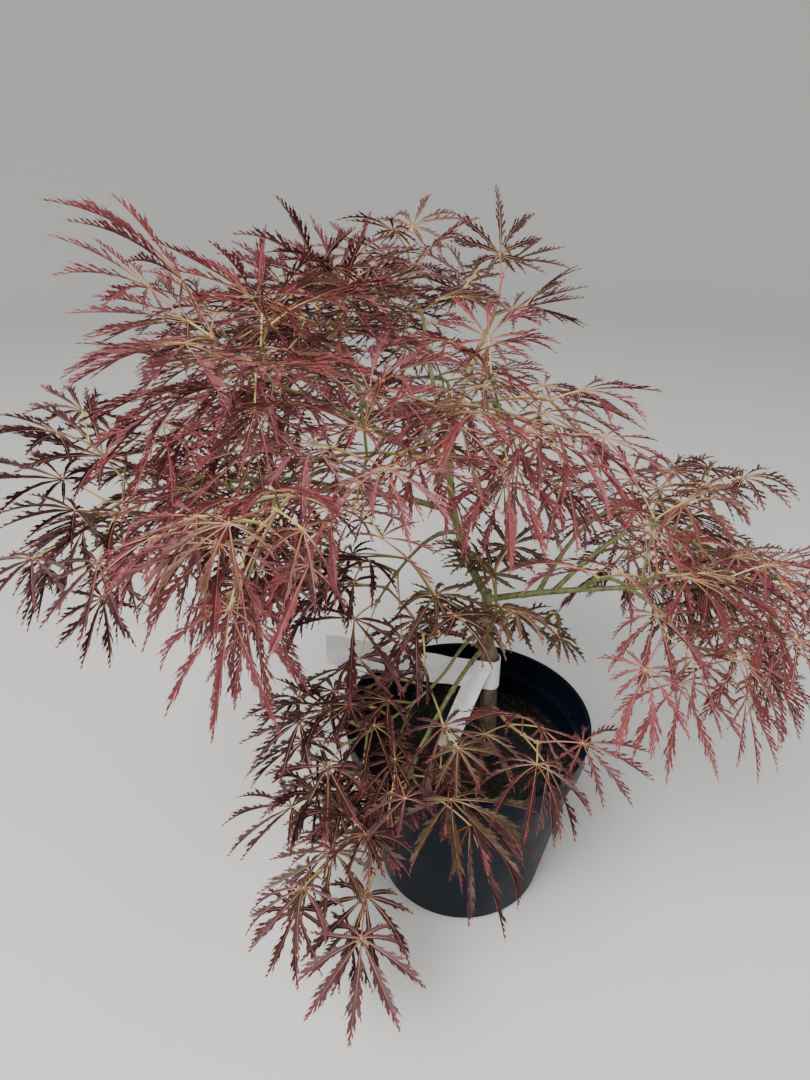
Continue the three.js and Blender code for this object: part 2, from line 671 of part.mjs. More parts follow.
// The three-sided stalk from the hub's back to the stem, whose root stands inside the stem
function stalkFaces({ hub, face, flat, root }, corners, top, under) {
  const neck = hub.clone().lerp(root, HUB_NOTCH / hub.distanceTo(root));
  for (const centre of [neck, root]) {
    corners.push(shifted(centre, face, PETIOLE_RADIUS));
    for (const half of [1, -1]) {
      const low = shifted(centre, face, -PETIOLE_RADIUS / 2);
      corners.push(low.addScaledVector(flat, half * PETIOLE_RADIUS * CORNER_SPREAD));
    }
  }
  return [
    [top, NECK_LEFT, NECK_TOP],
    [top, NECK_TOP, NECK_RIGHT],
    [under, NECK_RIGHT, NECK_LEFT],
    [NECK_TOP, NECK_LEFT, ROOT_LEFT],
    [NECK_TOP, ROOT_LEFT, ROOT_TOP],
    [NECK_LEFT, NECK_RIGHT, ROOT_RIGHT],
    [NECK_LEFT, ROOT_RIGHT, ROOT_LEFT],
    [NECK_RIGHT, NECK_TOP, ROOT_TOP],
    [NECK_RIGHT, ROOT_TOP, ROOT_RIGHT],
    [ROOT_TOP, ROOT_LEFT, ROOT_RIGHT],
  ];
}

// A long lobe's widest place: its two edges and the rib between them
function ribCorners(lobe, face, corners) {
  const middle = lobe.path.getPoint(LOBE_WIDEST);
  const across = face.clone().cross(lobe.path.getTangent(LOBE_WIDEST)).normalize();
  const first = corners.length;
  corners.push(shifted(middle, across, -lobe.width), shifted(middle, across, lobe.width));
  corners.push(shifted(middle, face, LOBE_RIDGE));
  return [first, first + 1, first + 2];
}

// The bottom of the notch between two lobes
function hubNotch(leaf, angle) {
  return shifted(leaf.hub, aimed(leaf, angle), HUB_NOTCH);
}

function massSolid(stem, leaves) {
  const stemRadius = (share) => STEM_ROOT_RADIUS + (STEM_TIP_RADIUS - STEM_ROOT_RADIUS) * share;
  const parts = leaves.map(leafSolid);
  parts.push(taperedTube(stem, stemRadius, TWIG_SIDES, STEM_STEPS));
  return largestBody(wasm.Manifold.union(parts));
}

// A thin strip's outline that follows a line of places
function stripShape(places) {
  const near = [];
  const far = [];
  places.forEach((place, i) => {
    const from = places[Math.max(0, i - 1)];
    const to = places[Math.min(places.length - 1, i + 1)];
    const normal = new THREE.Vector2(from.y - to.y, to.x - from.x).normalize();
    near.push(place.clone().addScaledVector(normal, LABEL_THICKNESS / 2));
    far.unshift(place.clone().addScaledVector(normal, -LABEL_THICKNESS / 2));
  });
  return new THREE.Shape([...near, ...far]);
}

// The strip seen from above: straight in from its free end, then once round the trunk
function labelLine(axis) {
  const places = LABEL_STRIP.map(([x, y]) => new THREE.Vector2(x, y));
  for (let turn = -90; turn <= LABEL_LOOP_END; turn += LABEL_LOOP_STEP) {
    const angle = radians(turn);
    places.push(new THREE.Vector2(LABEL_LOOP * Math.cos(angle), LABEL_LOOP * Math.sin(angle)).add(axis));
  }
  return places;
}

function extruded(shape, depth) {
  return new THREE.ExtrudeGeometry(shape, { depth, bevelEnabled: false });
}

function labelSolid(axis) {
  const strip = extruded(stripShape(labelLine(axis)), LABEL_WIDTH);
  strip.translate(0, 0, LABEL_LEVEL);
  const places = strip.attributes.position;
  for (let i = 0; i < places.count; i += 1) {
    places.setZ(i, places.getZ(i) + LABEL_SLOPE * (axis.x - places.getX(i)));
  }
  const profile = LABEL_TAIL.map(([out, height]) => new THREE.Vector2(out, height));
  const tail = extruded(stripShape(profile), LABEL_TAIL_WIDTH);
  tail.rotateX(Math.PI / 2);
  tail.translate(LABEL_LOOP, LABEL_TAIL_WIDTH / 2, 0);
  tail.rotateZ(radians(LABEL_TAIL_HEADING));
  tail.translate(axis.x, axis.y, 0);
  return largestBody(toSolid(strip).add(toSolid(tail)));
}

// Lines along the label, as thick as the strip between them, that leaves keep clear of
function labelSpans(axis) {
  const spans = [];
  const line = labelLine(axis);
  for (const rise of LABEL_GUARDS) {
    const height = (place) => LABEL_LEVEL + rise * LABEL_WIDTH + LABEL_SLOPE * (axis.x - place.x);
    const places = line.map((place) => new THREE.Vector3(place.x, place.y, height(place)));
    places.slice(1).forEach((place, i) => {
      spans.push({ owner: "label", line: new THREE.Line3(places[i], place), radius: LABEL_GUARD_RADIUS });
    });
  }
  const [foot, heel] = [LABEL_TAIL[0], LABEL_TAIL[LABEL_TAIL.length - 1]].map(([out, height]) => {
    const angle = radians(LABEL_TAIL_HEADING);
    const radius = LABEL_LOOP + out;
    return new THREE.Vector3(axis.x + radius * Math.cos(angle), axis.y + radius * Math.sin(angle), height);
  });
  spans.push({ owner: "label", line: new THREE.Line3(foot, heel), radius: LABEL_TAIL_WIDTH / 2 });
  return spans;
}

// Assembly
const tree = new THREE.Group();
const paths = limbPaths();
const stems = stemPaths(paths);
const labelAxis = paths.get("trunk").getPoint(LABEL_SHARE);
const spans = [...limbSpans(paths), ...stemSpans(stems), ...labelSpans(labelAxis)];
const centres = new Map(MASSES.map((mass) => [mass.name, stems.get(mass.name).getPoint(CELL_CENTRE)]));

const { solid: potSolid, innerRadius } = pot();
tree.add(piece("pot", potSolid, POT_LOOK));
tree.add(piece("compost", compost(innerRadius), COMPOST_LOOK));
tree.add(piece("blank_label", labelSolid(labelAxis), LABEL_LOOK));

// Each limb stops short of those before it, so that no two of them touch
const shells = [];
for (const limb of LIMBS) {
  const path = paths.get(limb.name);
  let solid = limbSolid(limb, path, 0);
  for (const shell of shells) {
    solid = solid.subtract(shell);
  }
  tree.add(piece(limb.name, largestBody(solid), limb.name === "trunk" ? BARK_LOOK : GREEN_WOOD_LOOK));
  shells.push(limbSolid(limb, path, SEAT_GAP));
}

for (const mass of MASSES) {
  const stem = stems.get(mass.name);
  const leaves = growMass(mass, stem, spans, centres);
  const look = { color: TINTS[mass.tint], roughness: LEAF_ROUGHNESS };
  tree.add(piece(`foliage_${mass.name}`, massSolid(stem, leaves), look));
}

export default tree;
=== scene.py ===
# A laceleaf japanese maple in a round black nursery pot: bark, twigs, feathered leaves, compost and pot.
# Metres, +Z up, +Y away from the viewer. The origin is the centre of the pot's flat underside.

import functools
import json
import math
from collections import namedtuple

import bpy
import numpy as np
from bpy.props import FloatProperty, FloatVectorProperty, IntProperty, PointerProperty
from mathutils import Matrix, Vector, noise

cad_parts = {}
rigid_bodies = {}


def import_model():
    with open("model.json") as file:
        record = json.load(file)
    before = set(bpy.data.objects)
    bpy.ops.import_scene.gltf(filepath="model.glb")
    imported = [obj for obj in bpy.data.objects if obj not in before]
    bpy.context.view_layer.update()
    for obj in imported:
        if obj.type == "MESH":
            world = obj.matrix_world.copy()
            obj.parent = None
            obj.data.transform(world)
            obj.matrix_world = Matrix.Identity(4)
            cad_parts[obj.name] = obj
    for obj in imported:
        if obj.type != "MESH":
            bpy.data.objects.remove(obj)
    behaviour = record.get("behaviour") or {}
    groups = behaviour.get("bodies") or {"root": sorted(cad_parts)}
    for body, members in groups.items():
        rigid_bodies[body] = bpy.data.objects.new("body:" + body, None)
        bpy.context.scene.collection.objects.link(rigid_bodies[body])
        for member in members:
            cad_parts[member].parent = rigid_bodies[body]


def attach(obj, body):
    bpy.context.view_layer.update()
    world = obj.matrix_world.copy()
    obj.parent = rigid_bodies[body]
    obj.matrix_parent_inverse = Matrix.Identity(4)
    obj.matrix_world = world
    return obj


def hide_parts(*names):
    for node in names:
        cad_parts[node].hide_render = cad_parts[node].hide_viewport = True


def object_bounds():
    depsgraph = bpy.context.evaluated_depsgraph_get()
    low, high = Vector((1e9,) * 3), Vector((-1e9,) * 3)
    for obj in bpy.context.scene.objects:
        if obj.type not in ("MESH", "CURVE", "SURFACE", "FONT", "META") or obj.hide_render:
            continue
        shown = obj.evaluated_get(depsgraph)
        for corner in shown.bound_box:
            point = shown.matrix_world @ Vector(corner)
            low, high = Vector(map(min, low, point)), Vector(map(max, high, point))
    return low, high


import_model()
CAD_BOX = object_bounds()

bl_info = {
    "name": "Potted laceleaf maple",
    "version": (1, 0, 0),
    "blender": (4, 5, 0),
    "location": "3D View > Sidebar > Maple",
    "description": "Bark, twigs, feathered leaves, pot, compost and label of a young grafted maple",
    "category": "Object",
}

MM = 0.001
SHORTEST = 1e-12
UP = np.array((0.0, 0.0, 1.0))

# Pot and compost, in metres
POT_RADIUS = 0.095
POT_HEIGHT = 0.154
BASE_RADIUS = 0.0655
BASE_CHAMFER = 0.003
WALL = 0.0018
FLOOR = 0.0024
COLLAR_DEPTH = 0.024
COLLAR_STEP = 0.0042
COLLAR_FLARE = 0.0006
LIP_OUT = 0.0016
LIP_DEPTH = 0.004
RIDGE_OUT = 0.0014
RIDGE_DEPTH = 0.004
COMPOST_TOP = 0.120
COMPOST_DIP = 0.003

# Trunk, in millimetres like the limbs below, with the graft as a share of its length
TRUNK_FOOT = (17, 2, 120.3)
FLARE_RADIUS = 10.5
FLARE_HEIGHT = 15
STOCK_RADIUS = 6.4
GRAFT_SHARE = 0.62
GRAFT_RADIUS = 6.9
SCION_RADIUS = 4.4
TRUNK_TOP_RADIUS = 3.7
GRAFT_BAND = 0.05

# The old leader's stub, in metres. Its pale face is how far out and which share of its radius, and the dead
# twig beside it is how far out and how far up
STUB_LENGTH = 0.012
STUB_RADIUS = 0.0034
STUB_HEADING = (-0.8, 0.35, 0.5)
STUB_RINGS = 12
STUB_SIDES = 16
STUB_SWELL = 0.12
STUB_FACE = ((0.0001, 0.85), (0.0003, 0.8))
DEAD_TWIG_RING = 6
DEAD_TWIG = ((-0.001, 0.0), (0.0, 0.012), (0.003, 0.026))
DEAD_TWIG_RADII = (0.0009, 0.0005)
DEAD_TWIG_RINGS = 10

# The trunk's surface, with shallow buttresses at its foot
TRUNK_RINGS = 150
TRUNK_SIDES = 36
TRUNK_NODES = 7
BUTTRESSES = 5
BUTTRESS_TURN = 0.6
BUTTRESS_DEPTH = 0.0009
BUTTRESS_HEIGHT = 0.012

# Bark relief, coarse and fine: how fast it changes round the limb and up it, and its share of the depth
BARK_FURROW = (2.2, 45, 0.6)
BARK_LUMP = (5, 160, 0.4)

# Boughs, buds and the rings where leaves once stood, in metres
BOUGH_SIDES = 14
BOUGH_STEP = 0.0022
FEWEST_BOUGH_RINGS = 12
NODE_STEP = 0.028
NODE_SHARPNESS = 9
BUD_SEAT = 0.7
BUD_OUT = 0.0011
BUD_LENGTH = 0.0024
BUD_RADII = (0.0007, 0.0008, 0.0001)
BUD_LEAN = 0.3
BUD_SIDES = 6

# Blank label: a thin strip looped round the trunk, with one end hanging in front. The lines of the strip and
# of the hanging end are in millimetres
LABEL_WIDTH = 0.025
LABEL_LEVEL = 0.1845
LABEL_SLOPE = 0.15
LABEL_STRIP = ((-106, -13), (-80, -10), (-52, -12), (-20, -10))
LABEL_SHARE = 0.52
LABEL_LOOP = 0.0082
LABEL_LOOP_END = 135
LABEL_LOOP_STEP = 15
LABEL_TAIL = ((-0.2, 203), (6, 196), (14, 183), (23, 168), (31, 154), (35, 144))
LABEL_TAIL_WIDTH = 0.017
LABEL_TAIL_HEADING = -132
LABEL_THICKNESS = 0.0005
LABEL_RIPPLE = 0.0018
LABEL_RIPPLES = 170
LABEL_RIPPLE_END = -0.01
LABEL_RIPPLE_AXIS = 0.4
LABEL_COLUMNS = 7
LABEL_CHECKS = (0.15, 0.5, 0.85)
LABEL_RAIL_RADIUS = LABEL_WIDTH / 6
STRIP_STEPS = 6
TAIL_STEPS = 5

# Limbs, in millimetres: share is where one leaves its parent, and lift bends its middle off a straight line
Limb = namedtuple("Limb", "parent share tip lift root_radius end_radius")
LIMBS = {
    "trunk": Limb(None, 0, (9, 0, 266), (3, 0, 4), STOCK_RADIUS, TRUNK_TOP_RADIUS),
    "leader": Limb("trunk", 0.97, (-1, 84, 430), (-50, -40, 6), 3.2, 1.5),
    "left_bough": Limb("leader", 0.34, (-118, -34, 352), (0, 0, 12), 2.4, 1.4),
    "far_left_bough": Limb("left_bough", 0.66, (-188, -46, 352), (0, 8, 16), 1.7, 1.2),
    "left_front_bough": Limb("left_bough", 0.46, (-94, -102, 390), (-6, -6, 26), 1.7, 1.2),
    "upper_left_bough": Limb("leader", 0.46, (-112, -26, 414), (-4, 0, 14), 2.1, 1.4),
    "mid_left_bough": Limb("upper_left_bough", 0.36, (-60, -48, 392), (0, 0, 12), 1.6, 1.2),
    "upper_mid_bough": Limb("upper_left_bough", 0.52, (-88, 4, 424), (0, 0, 6), 1.6, 1.2),
    "centre_top_bough": Limb("leader", 0.6, (0, 2, 404), (0, 0, 10), 1.8, 1.2),
    "top_mid_bough": Limb("leader", 0.56, (-44, 62, 438), (-6, 0, 8), 1.8, 1.2),
    "inner_bough": Limb("leader", 0.26, (-36, -18, 310), (0, 0, 8), 1.8, 1.2),
    "trunk_spur": Limb("trunk", 0.84, (14, -15, 252), (0, 0, 2), 1.7, 1.2),
    "over_pot_bough": Limb("trunk", 0.76, (-12, -34, 228), (0, 0, 12), 1.6, 1.1),
    "low_front_bough": Limb("trunk", 0.68, (-34, -84, 176), (0, -8, 28), 1.8, 1.3),
    "bottom_bough": Limb("low_front_bough", 0.66, (-46, -106, 132), (-6, -10, 16), 1.4, 1.1),
    "front_right_bough": Limb("trunk", 0.28, (26, -27, 176), (0, 0, 4), 1.7, 1.2),
    "right_bough": Limb("trunk", 0.95, (140, -20, 290), (-4, -4, 9), 2.5, 1.4),
    "right_upper_bough": Limb("right_bough", 0.36, (104, 6, 318), (0, 0, 8), 1.9, 1.2),
    "right_mid_bough": Limb("right_bough", 0.5, (92, -34, 300), (0, 0, 10), 1.7, 1.2),
    "right_low_bough": Limb("right_bough", 0.72, (134, -42, 268), (4, -6, 8), 1.5, 1.2),
    "back_left_bough": Limb("leader", 0.5, (-88, 70, 392), (0, 0, 14), 1.9, 1.2),
    "back_mid_bough": Limb("leader", 0.6, (-28, 112, 380), (0, 0, 8), 1.8, 1.2),
    "back_right_bough": Limb("right_bough", 0.28, (98, 74, 298), (0, 8, 18), 1.9, 1.2),
}
LIMB_STEPS = 6

# Foliage, in millimetres: tip is the stem's, hang and rise bend the leaves, reach is the size of its space
Mass = namedtuple("Mass", "bough tip nodes lobe petiole hang rise reach seed tint")
MASSES = {
    "top_left": Mass("upper_left_bough", (-148, -70, 458), 4, 84, 30, 0.42, 0, 108, 11, "red"),
    "upper_mid_left": Mass("upper_mid_bough", (-106, 12, 456), 4, 68, 28, 0.42, 0.02, 100, 12, "wine"),
    "far_left": Mass("far_left_bough", (-240, -46, 344), 4, 70, 30, 0.42, 0, 95, 13, "brown"),
    "left_mid": Mass("left_bough", (-150, -56, 352), 4, 68, 28, 0.6, 0, 96, 14, "wine"),
    "left_front": Mass("left_front_bough", (-110, -160, 382), 4, 74, 30, 0.85, 0, 92, 15, "pink"),
    "mid_left": Mass("mid_left_bough", (-66, -98, 404), 3, 66, 26, 0.5, 0, 98, 16, "red"),
    "centre_top": Mass("centre_top_bough", (8, -56, 412), 4, 72, 30, 0.55, 0, 105, 17, "pink"),
    "top_sprout": Mass("leader", (8, 118, 464), 2, 54, 18, 0.3, 0.1, 88, 45, "young"),
    "top_mid": Mass("top_mid_bough", (-60, 88, 456), 3, 62, 28, 0.42, 0, 88, 19, "wine"),
    "centre": Mass("inner_bough", (-62, -62, 288), 4, 70, 30, 0.65, 0, 88, 20, "brown"),
    "trunk_sprout": Mass("trunk_spur", (13, -31, 303), 3, 50, 20, 0.5, 0, 82, 21, "olive"),
    "over_pot": Mass("over_pot_bough", (-84, -84, 188), 5, 64, 26, 0.65, 0, 100, 22, "brown"),
    "front": Mass("low_front_bough", (-16, -106, 170), 2, 88, 24, 0.9, 0, 92, 17, "brown"),
    "front_bottom": Mass("bottom_bough", (-88, -108, 146), 4, 70, 26, 0.58, 0, 84, 25, "brown"),
    "front_right": Mass("front_right_bough", (50, -66, 188), 3, 58, 24, 0.62, 0, 86, 37, "wine"),
    "right_far": Mass("right_bough", (196, -34, 292), 4, 70, 28, 0.75, 0, 88, 27, "red"),
    "right_upper": Mass("right_upper_bough", (152, 8, 308), 4, 60, 28, 0.5, 0, 94, 28, "young"),
    "right_mid": Mass("right_mid_bough", (108, -68, 328), 4, 70, 28, 0.6, 0, 98, 29, "pink"),
    "right_low": Mass("right_low_bough", (160, -62, 270), 3, 70, 28, 0.8, 0, 84, 30, "red"),
    "back_left": Mass("back_left_bough", (-162, 112, 382), 4, 72, 30, 0.5, 0, 105, 31, "wine"),
    "back_mid": Mass("back_mid_bough", (-48, 172, 370), 4, 72, 30, 0.5, 0, 100, 32, "red"),
    "back_right": Mass("back_right_bough", (150, 118, 266), 4, 70, 30, 0.6, 0, 95, 33, "wine"),
}

# Leaf: seven narrow lobes round a small hub, as angle from the middle one and share of its length
LOBE_FAN = ((-98, 0.58), (-62, 0.84), (-31, 0.96), (0, 1), (31, 0.96), (62, 0.84), (98, 0.58))
BASAL_LOBES = ((-128, 0.36), (128, 0.36))
LOBE_CUTS = (1, 0.87, 0.74, 0.61, 0.48)
FEWEST_LOBES = 4

# Stems and the places of their nodes
STEM_ROOT_RADIUS = 0.0015
STEM_TIP_RADIUS = 0.0009
STEM_STEPS = 5
STEM_CARRY = 0.4
SEAT_GAP = 0.0003
FIRST_NODE = 0.3
LAST_NODE = 0.97

# How a leaf stands off its stem
PAIR_CROSS = 90
PAIR_TURN = 25
SIDE_LEAF_ALONG = 0.45
END_LEAF_ALONG = 1.1
OVER_SHARE = 0.7
LEAF_LIFT = 0.15
PETIOLE_STRETCH = (0.8, 1.35)
PETIOLE_SAG = 0.12
HANG_TURN = 0.55
RISE_TURN = 0.6
LEAF_SWING = 0.22
LEAF_TILT = 0.2
LEAF_GROWTH = (0.86, 1.08)
LOBE_TURN = 5
LOBE_DROP = 1.1
FALL_SPREAD = 0.12
LEAST_FALL = 0.05
MOST_FALL = 0.95

# Seeded draws
SEED_FACTOR = 7919
DRAW_FACTOR = 1664525
DRAW_STEP = 1013904223
DRAW_RANGE = 4294967296

# Free space of the finer foliage, which may weave a little into the masses beside it
CELL_CENTRE = 0.72
CELL_WEAVE = 0.03
WOOD_GAP = 0.0004
HUB_GAP = 0.0015
LOBE_CHECKS = (0.3, 0.5, 0.75, 1)
LOWEST_LEAF = 0.006
MOUTH_INSET = 0.009
BOX_GROWTH = 0.012

# Finer twigs: where each pair of leaves stands, and how far it leans along the twig. The second pair is only
# there on full stems, and bare stems have no such twigs
TWIG_PAIRS = ((0.97, END_LEAF_ALONG), (0.45, 0.6))
FULL_STEMS = ("top_left", "upper_mid_left", "mid_left", "left_mid", "centre_top", "top_mid")
BARE_STEMS = ("front", "front_right", "right_low")
TWIG_LENGTH = (1.1, 1.7)
TWIG_LEAF_SIZE = (0.66, 0.86)
TWIG_RADIUS = 0.0008
TWIG_TAPER = (1.15, 0.35)
TWIG_BUD_AT = 0.96
TWIG_RINGS = 12
TWIG_SIDES = 7
TWIG_CHECKS = (0.5, 1)

# Stems and leaf stalks of the visual model: slimmer than those of the solids, and swollen at their nodes
STEM_ROOT_SHARE = 0.85
STEM_TIP_SHARE = 0.8
STEM_RINGS = 26
STEM_SIDES = 8
NODE_SWELL = 0.0004
NODE_SWELL_SHARPNESS = 25
LAST_BUD = 0.93
BUD_STEM_RADIUS = 0.0011
PETIOLE_RADIUS = 0.00055
PETIOLE_CLASP = 0.0005
PETIOLE_HEAD = 0.00012
PETIOLE_ENDS = 6
PETIOLE_MIDDLE = (0.55, 0.02)
PETIOLE_RINGS = 9
PETIOLE_SIDES = 6
TWIG_MATERIALS = ("twig", "petiole_tan", "petiole_yellow", "petiole_red")
STEM_SLOTS = {"left_front": 1, "front_right": 1, "top_sprout": 3}

# Openings in the crown, in millimetres: two ends of each one's middle line, and its radius
OPENINGS = (
    ((-107, -13, 214), (-54, -254, 390), 15),
    ((72, 30, 150), (52, -200, 330), 24),
    ((88, 30, 236), (46, -220, 394), 19),
    ((-59, -95, 330), (-29, -300, 451), 18),
    ((-15, -24, 218), (-6, -300, 422), 14),
)


def metres(values):
    return np.array(values, float) * MM


def even_angles(count):
    return np.arange(count) * 2 * math.pi / count


def unit(vectors):
    return vectors / np.maximum(np.linalg.norm(vectors, axis=-1, keepdims=True), SHORTEST)


def along_curve(path, share):
    """Places on a quadratic curve of three points, at one share or an array of them."""
    share = np.asarray(share, float)[..., None]
    start, middle, end = path
    return start * (1 - share) ** 2 + middle * 2 * share * (1 - share) + end * share**2


def curve_heading(path, share):
    share = np.asarray(share, float)[..., None]
    start, middle, end = path
    return unit((middle - start) * (1 - share) + (end - middle) * share)


def seeded_draw(seed):
    """The same even draws as the solids are grown by."""
    state = [seed * SEED_FACTOR]

    def draw(low, high):
        state[0] = (state[0] * DRAW_FACTOR + DRAW_STEP) % DRAW_RANGE
        return low + (high - low) * state[0] / DRAW_RANGE

    return draw


# Limbs and stems


@functools.cache
def limb_paths():
    paths = {}
    for name, limb in LIMBS.items():
        start = along_curve(paths[limb.parent], limb.share) if limb.parent else metres(TRUNK_FOOT)
        middle = (start + metres(limb.tip)) / 2 + metres(limb.lift)
        paths[name] = (start, middle, metres(limb.tip))
    return paths


def trunk_radius(share, height):
    """Radius of the trunk in metres: a flared foot, a knob at the graft and a thinner top above it."""
    flare = max(0.0, 1 - height / MM / FLARE_HEIGHT)
    foot = STOCK_RADIUS + (FLARE_RADIUS - STOCK_RADIUS) * flare * flare
    knob = max(0.0, 1 - abs(share - GRAFT_SHARE) / GRAFT_BAND)
    if share <= GRAFT_SHARE:
        return MM * max(foot, STOCK_RADIUS + (GRAFT_RADIUS - STOCK_RADIUS) * knob)
    above = (share - GRAFT_SHARE) / (1 - GRAFT_SHARE)
    scion = SCION_RADIUS + (TRUNK_TOP_RADIUS - SCION_RADIUS) * above
    return MM * (scion + (GRAFT_RADIUS - scion) * knob)


def limb_radius(name, share):
    if name == "trunk":
        height = along_curve(limb_paths()[name], share)[2] - metres(TRUNK_FOOT)[2]
        return trunk_radius(share, height)
    limb = LIMBS[name]
    return MM * (limb.root_radius + (limb.end_radius - limb.root_radius) * share)


@functools.cache
def stem_paths():
    stems = {}
    for name, mass in MASSES.items():
        limb = limb_paths()[mass.bough]
        heading = curve_heading(limb, 1)
        start = limb[2] + heading * SEAT_GAP
        end = metres(mass.tip)
        middle = start + heading * STEM_CARRY * np.linalg.norm(end - start)
        stems[name] = (start, middle, end)
    return stems


# Free space


@functools.cache
def wood_spans():
    """Every limb, every stem and the label as short straight spans: ends, radii and owners."""
    spans = []
    for name in LIMBS:
        shares = np.linspace(0, 1, LIMB_STEPS + 1)
        places = along_curve(limb_paths()[name], shares)
        for step in range(LIMB_STEPS):
            spans.append((places[step], places[step + 1], limb_radius(name, shares[step]), name))
    for name, stem in stem_paths().items():
        places = along_curve(stem, np.linspace(0, 1, STEM_STEPS + 1))
        for step in range(STEM_STEPS):
            spans.append((places[step], places[step + 1], STEM_ROOT_RADIUS, name))
    for low, high in label_rails():
        spans.append((low, high, LABEL_RAIL_RADIUS, "label"))
    starts, ends, radii, owners = zip(*spans)
    return np.array(starts), np.array(ends), np.array(radii), np.array(owners)


def span_gap(places, owner):
    """The free distance from each place to the nearest wood or label, apart from its owner's own stem."""
    starts, ends, radii, owners = wood_spans()
    kept = owners != owner
    starts, ends, radii = starts[kept], ends[kept], radii[kept]
    lines = ends - starts
    shares = np.einsum("pnk,nk->pn", places[:, None] - starts, lines) / np.einsum("nk,nk->n", lines, lines)
    nearest = starts + np.clip(shares, 0, 1)[..., None] * lines
    return (np.linalg.norm(places[:, None] - nearest, axis=2) - radii).min(axis=1)


@functools.cache
def cell_centres():
    return np.array([along_curve(stem, CELL_CENTRE) for stem in stem_paths().values()])


def cell_room(mass, places):
    """How far each place lies inside its mass's own cell."""
    names = list(MASSES)
    own = names.index(mass)
    reaches = np.array([MASSES[name].reach for name in names]) * MM
    across = np.delete(cell_centres() - cell_centres()[own], own, axis=0)
    others = np.delete(reaches, own)
    length = np.linalg.norm(across, axis=1)
    wall = (length**2 + reaches[own] ** 2 - others**2) / (2 * length)
    depth = (places - cell_centres()[own]) @ (across / length[:, None]).T
    return (wall - depth).min(axis=1)


def pot_gap(places):
    radius = np.hypot(places[:, 0], places[:, 1])
    inside = np.minimum(places[:, 2] - COMPOST_TOP, POT_RADIUS - MOUTH_INSET - radius)
    over = places[:, 2] - POT_HEIGHT
    return np.where(radius > POT_RADIUS, radius - POT_RADIUS, np.where(over > 0, over, inside))


def is_free(mass, places, gap):
    """Whether places keep clear of wood, pot, label and openings, within the part and near their own cell."""
    places = np.atleast_2d(places)
    low, high = (np.array(corner) for corner in CAD_BOX)
    inside = (places > low - BOX_GROWTH).all() and (places < high + BOX_GROWTH).all()
    if not inside or places[:, 2].min() < LOWEST_LEAF or pot_gap(places).min() < gap:
        return False
    if opening_gap(places) < 0:
        return False
    return cell_room(mass, places).min() > -CELL_WEAVE and span_gap(places, mass).min() > gap


def opening_gap(places):
    """How far places stay outside the openings of the crown."""
    gaps = []
    for start, end, radius in OPENINGS:
        start, end = metres(start), metres(end)
        line = end - start
        share = np.clip((places - start) @ line / (line @ line), 0, 1)
        nearest = start + share[:, None] * line
        gaps.append(np.linalg.norm(places - nearest, axis=1) - radius * MM)
    return np.min(gaps)


# Growth rule


def leaf_chances(draw):
    """The draws of one leaf, always taken in this order."""
    return {
        "stretch": draw(*PETIOLE_STRETCH),
        "swing": draw(-LEAF_SWING, LEAF_SWING),
        "tilt": draw(-LEAF_TILT, LEAF_TILT),
        "growth": draw(*LEAF_GROWTH),
        "fall": draw(-FALL_SPREAD, FALL_SPREAD),
        "turns": [draw(-LOBE_TURN, LOBE_TURN) for _ in LOBE_FAN],
    }


def leaf_spot(mass, stem, share, turn, along_share):
    """Where a leaf leaves its stem: its root, the level direction across the stem, and its way out."""
    along = curve_heading(stem, share)
    side = unit(np.cross(along, UP))
    over = np.cross(side, along)
    out = along * along_share + side * math.cos(turn) + over * math.sin(turn) * OVER_SHARE
    return along_curve(stem, share), side, unit(out + UP * (LEAF_LIFT + MASSES[mass].rise))


def grow_leaf(mass, spot, chance, size=1.0):
    """A leaf's hub and lobes, or nothing where it has no room. Each lobe is cut back until it has room."""
    root, side, out = spot
    form = MASSES[mass]
    length = form.petiole * MM * chance["stretch"] * size
    hub = root + out * length - UP * PETIOLE_SAG * length
    if not is_free(mass, hub, HUB_GAP):
        return None
    forward = unit(out + UP * (RISE_TURN * form.rise - HANG_TURN * form.hang) + side * chance["swing"])
    level = unit(np.cross(forward, UP))
    face = unit(np.cross(level, forward) + level * chance["tilt"])
    flat = unit(np.cross(face, forward))
    fall = min(MOST_FALL, max(LEAST_FALL, form.hang + chance["fall"]))
    lobes = []
    turns = [*chance["turns"], *chance["turns"][: len(BASAL_LOBES)]]
    for (angle, share), turn in zip(LOBE_FAN + BASAL_LOBES, turns):
        bearing = math.radians(angle + turn)
        heading = forward * math.cos(bearing) + flat * math.sin(bearing)
        full = form.lobe * MM * share * chance["growth"] * size
        for cut in LOBE_CUTS:
            path = lobe_path(hub, heading, full * cut, fall)
            if is_free(mass, along_curve(path, LOBE_CHECKS), WOOD_GAP):
                lobes.append(path)
                break
    if len(lobes) < FEWEST_LOBES:
        return None
    return {"mass": mass, "root": root, "out": out, "hub": hub, "face": face, "lobes": lobes}


def lobe_path(hub, heading, length, fall):
    """A lobe leaves its hub straight and then falls under its own weight."""
    elbow = hub + heading * length / 2
    drop = unit(heading * (1 - fall) - UP * LOBE_DROP * fall)
    return hub, elbow, elbow + drop * length / 2


def node_shares(mass):
    nodes = MASSES[mass].nodes
    return [min(LAST_NODE, FIRST_NODE + (1 - FIRST_NODE) * node / (nodes - 1)) for node in range(nodes)]


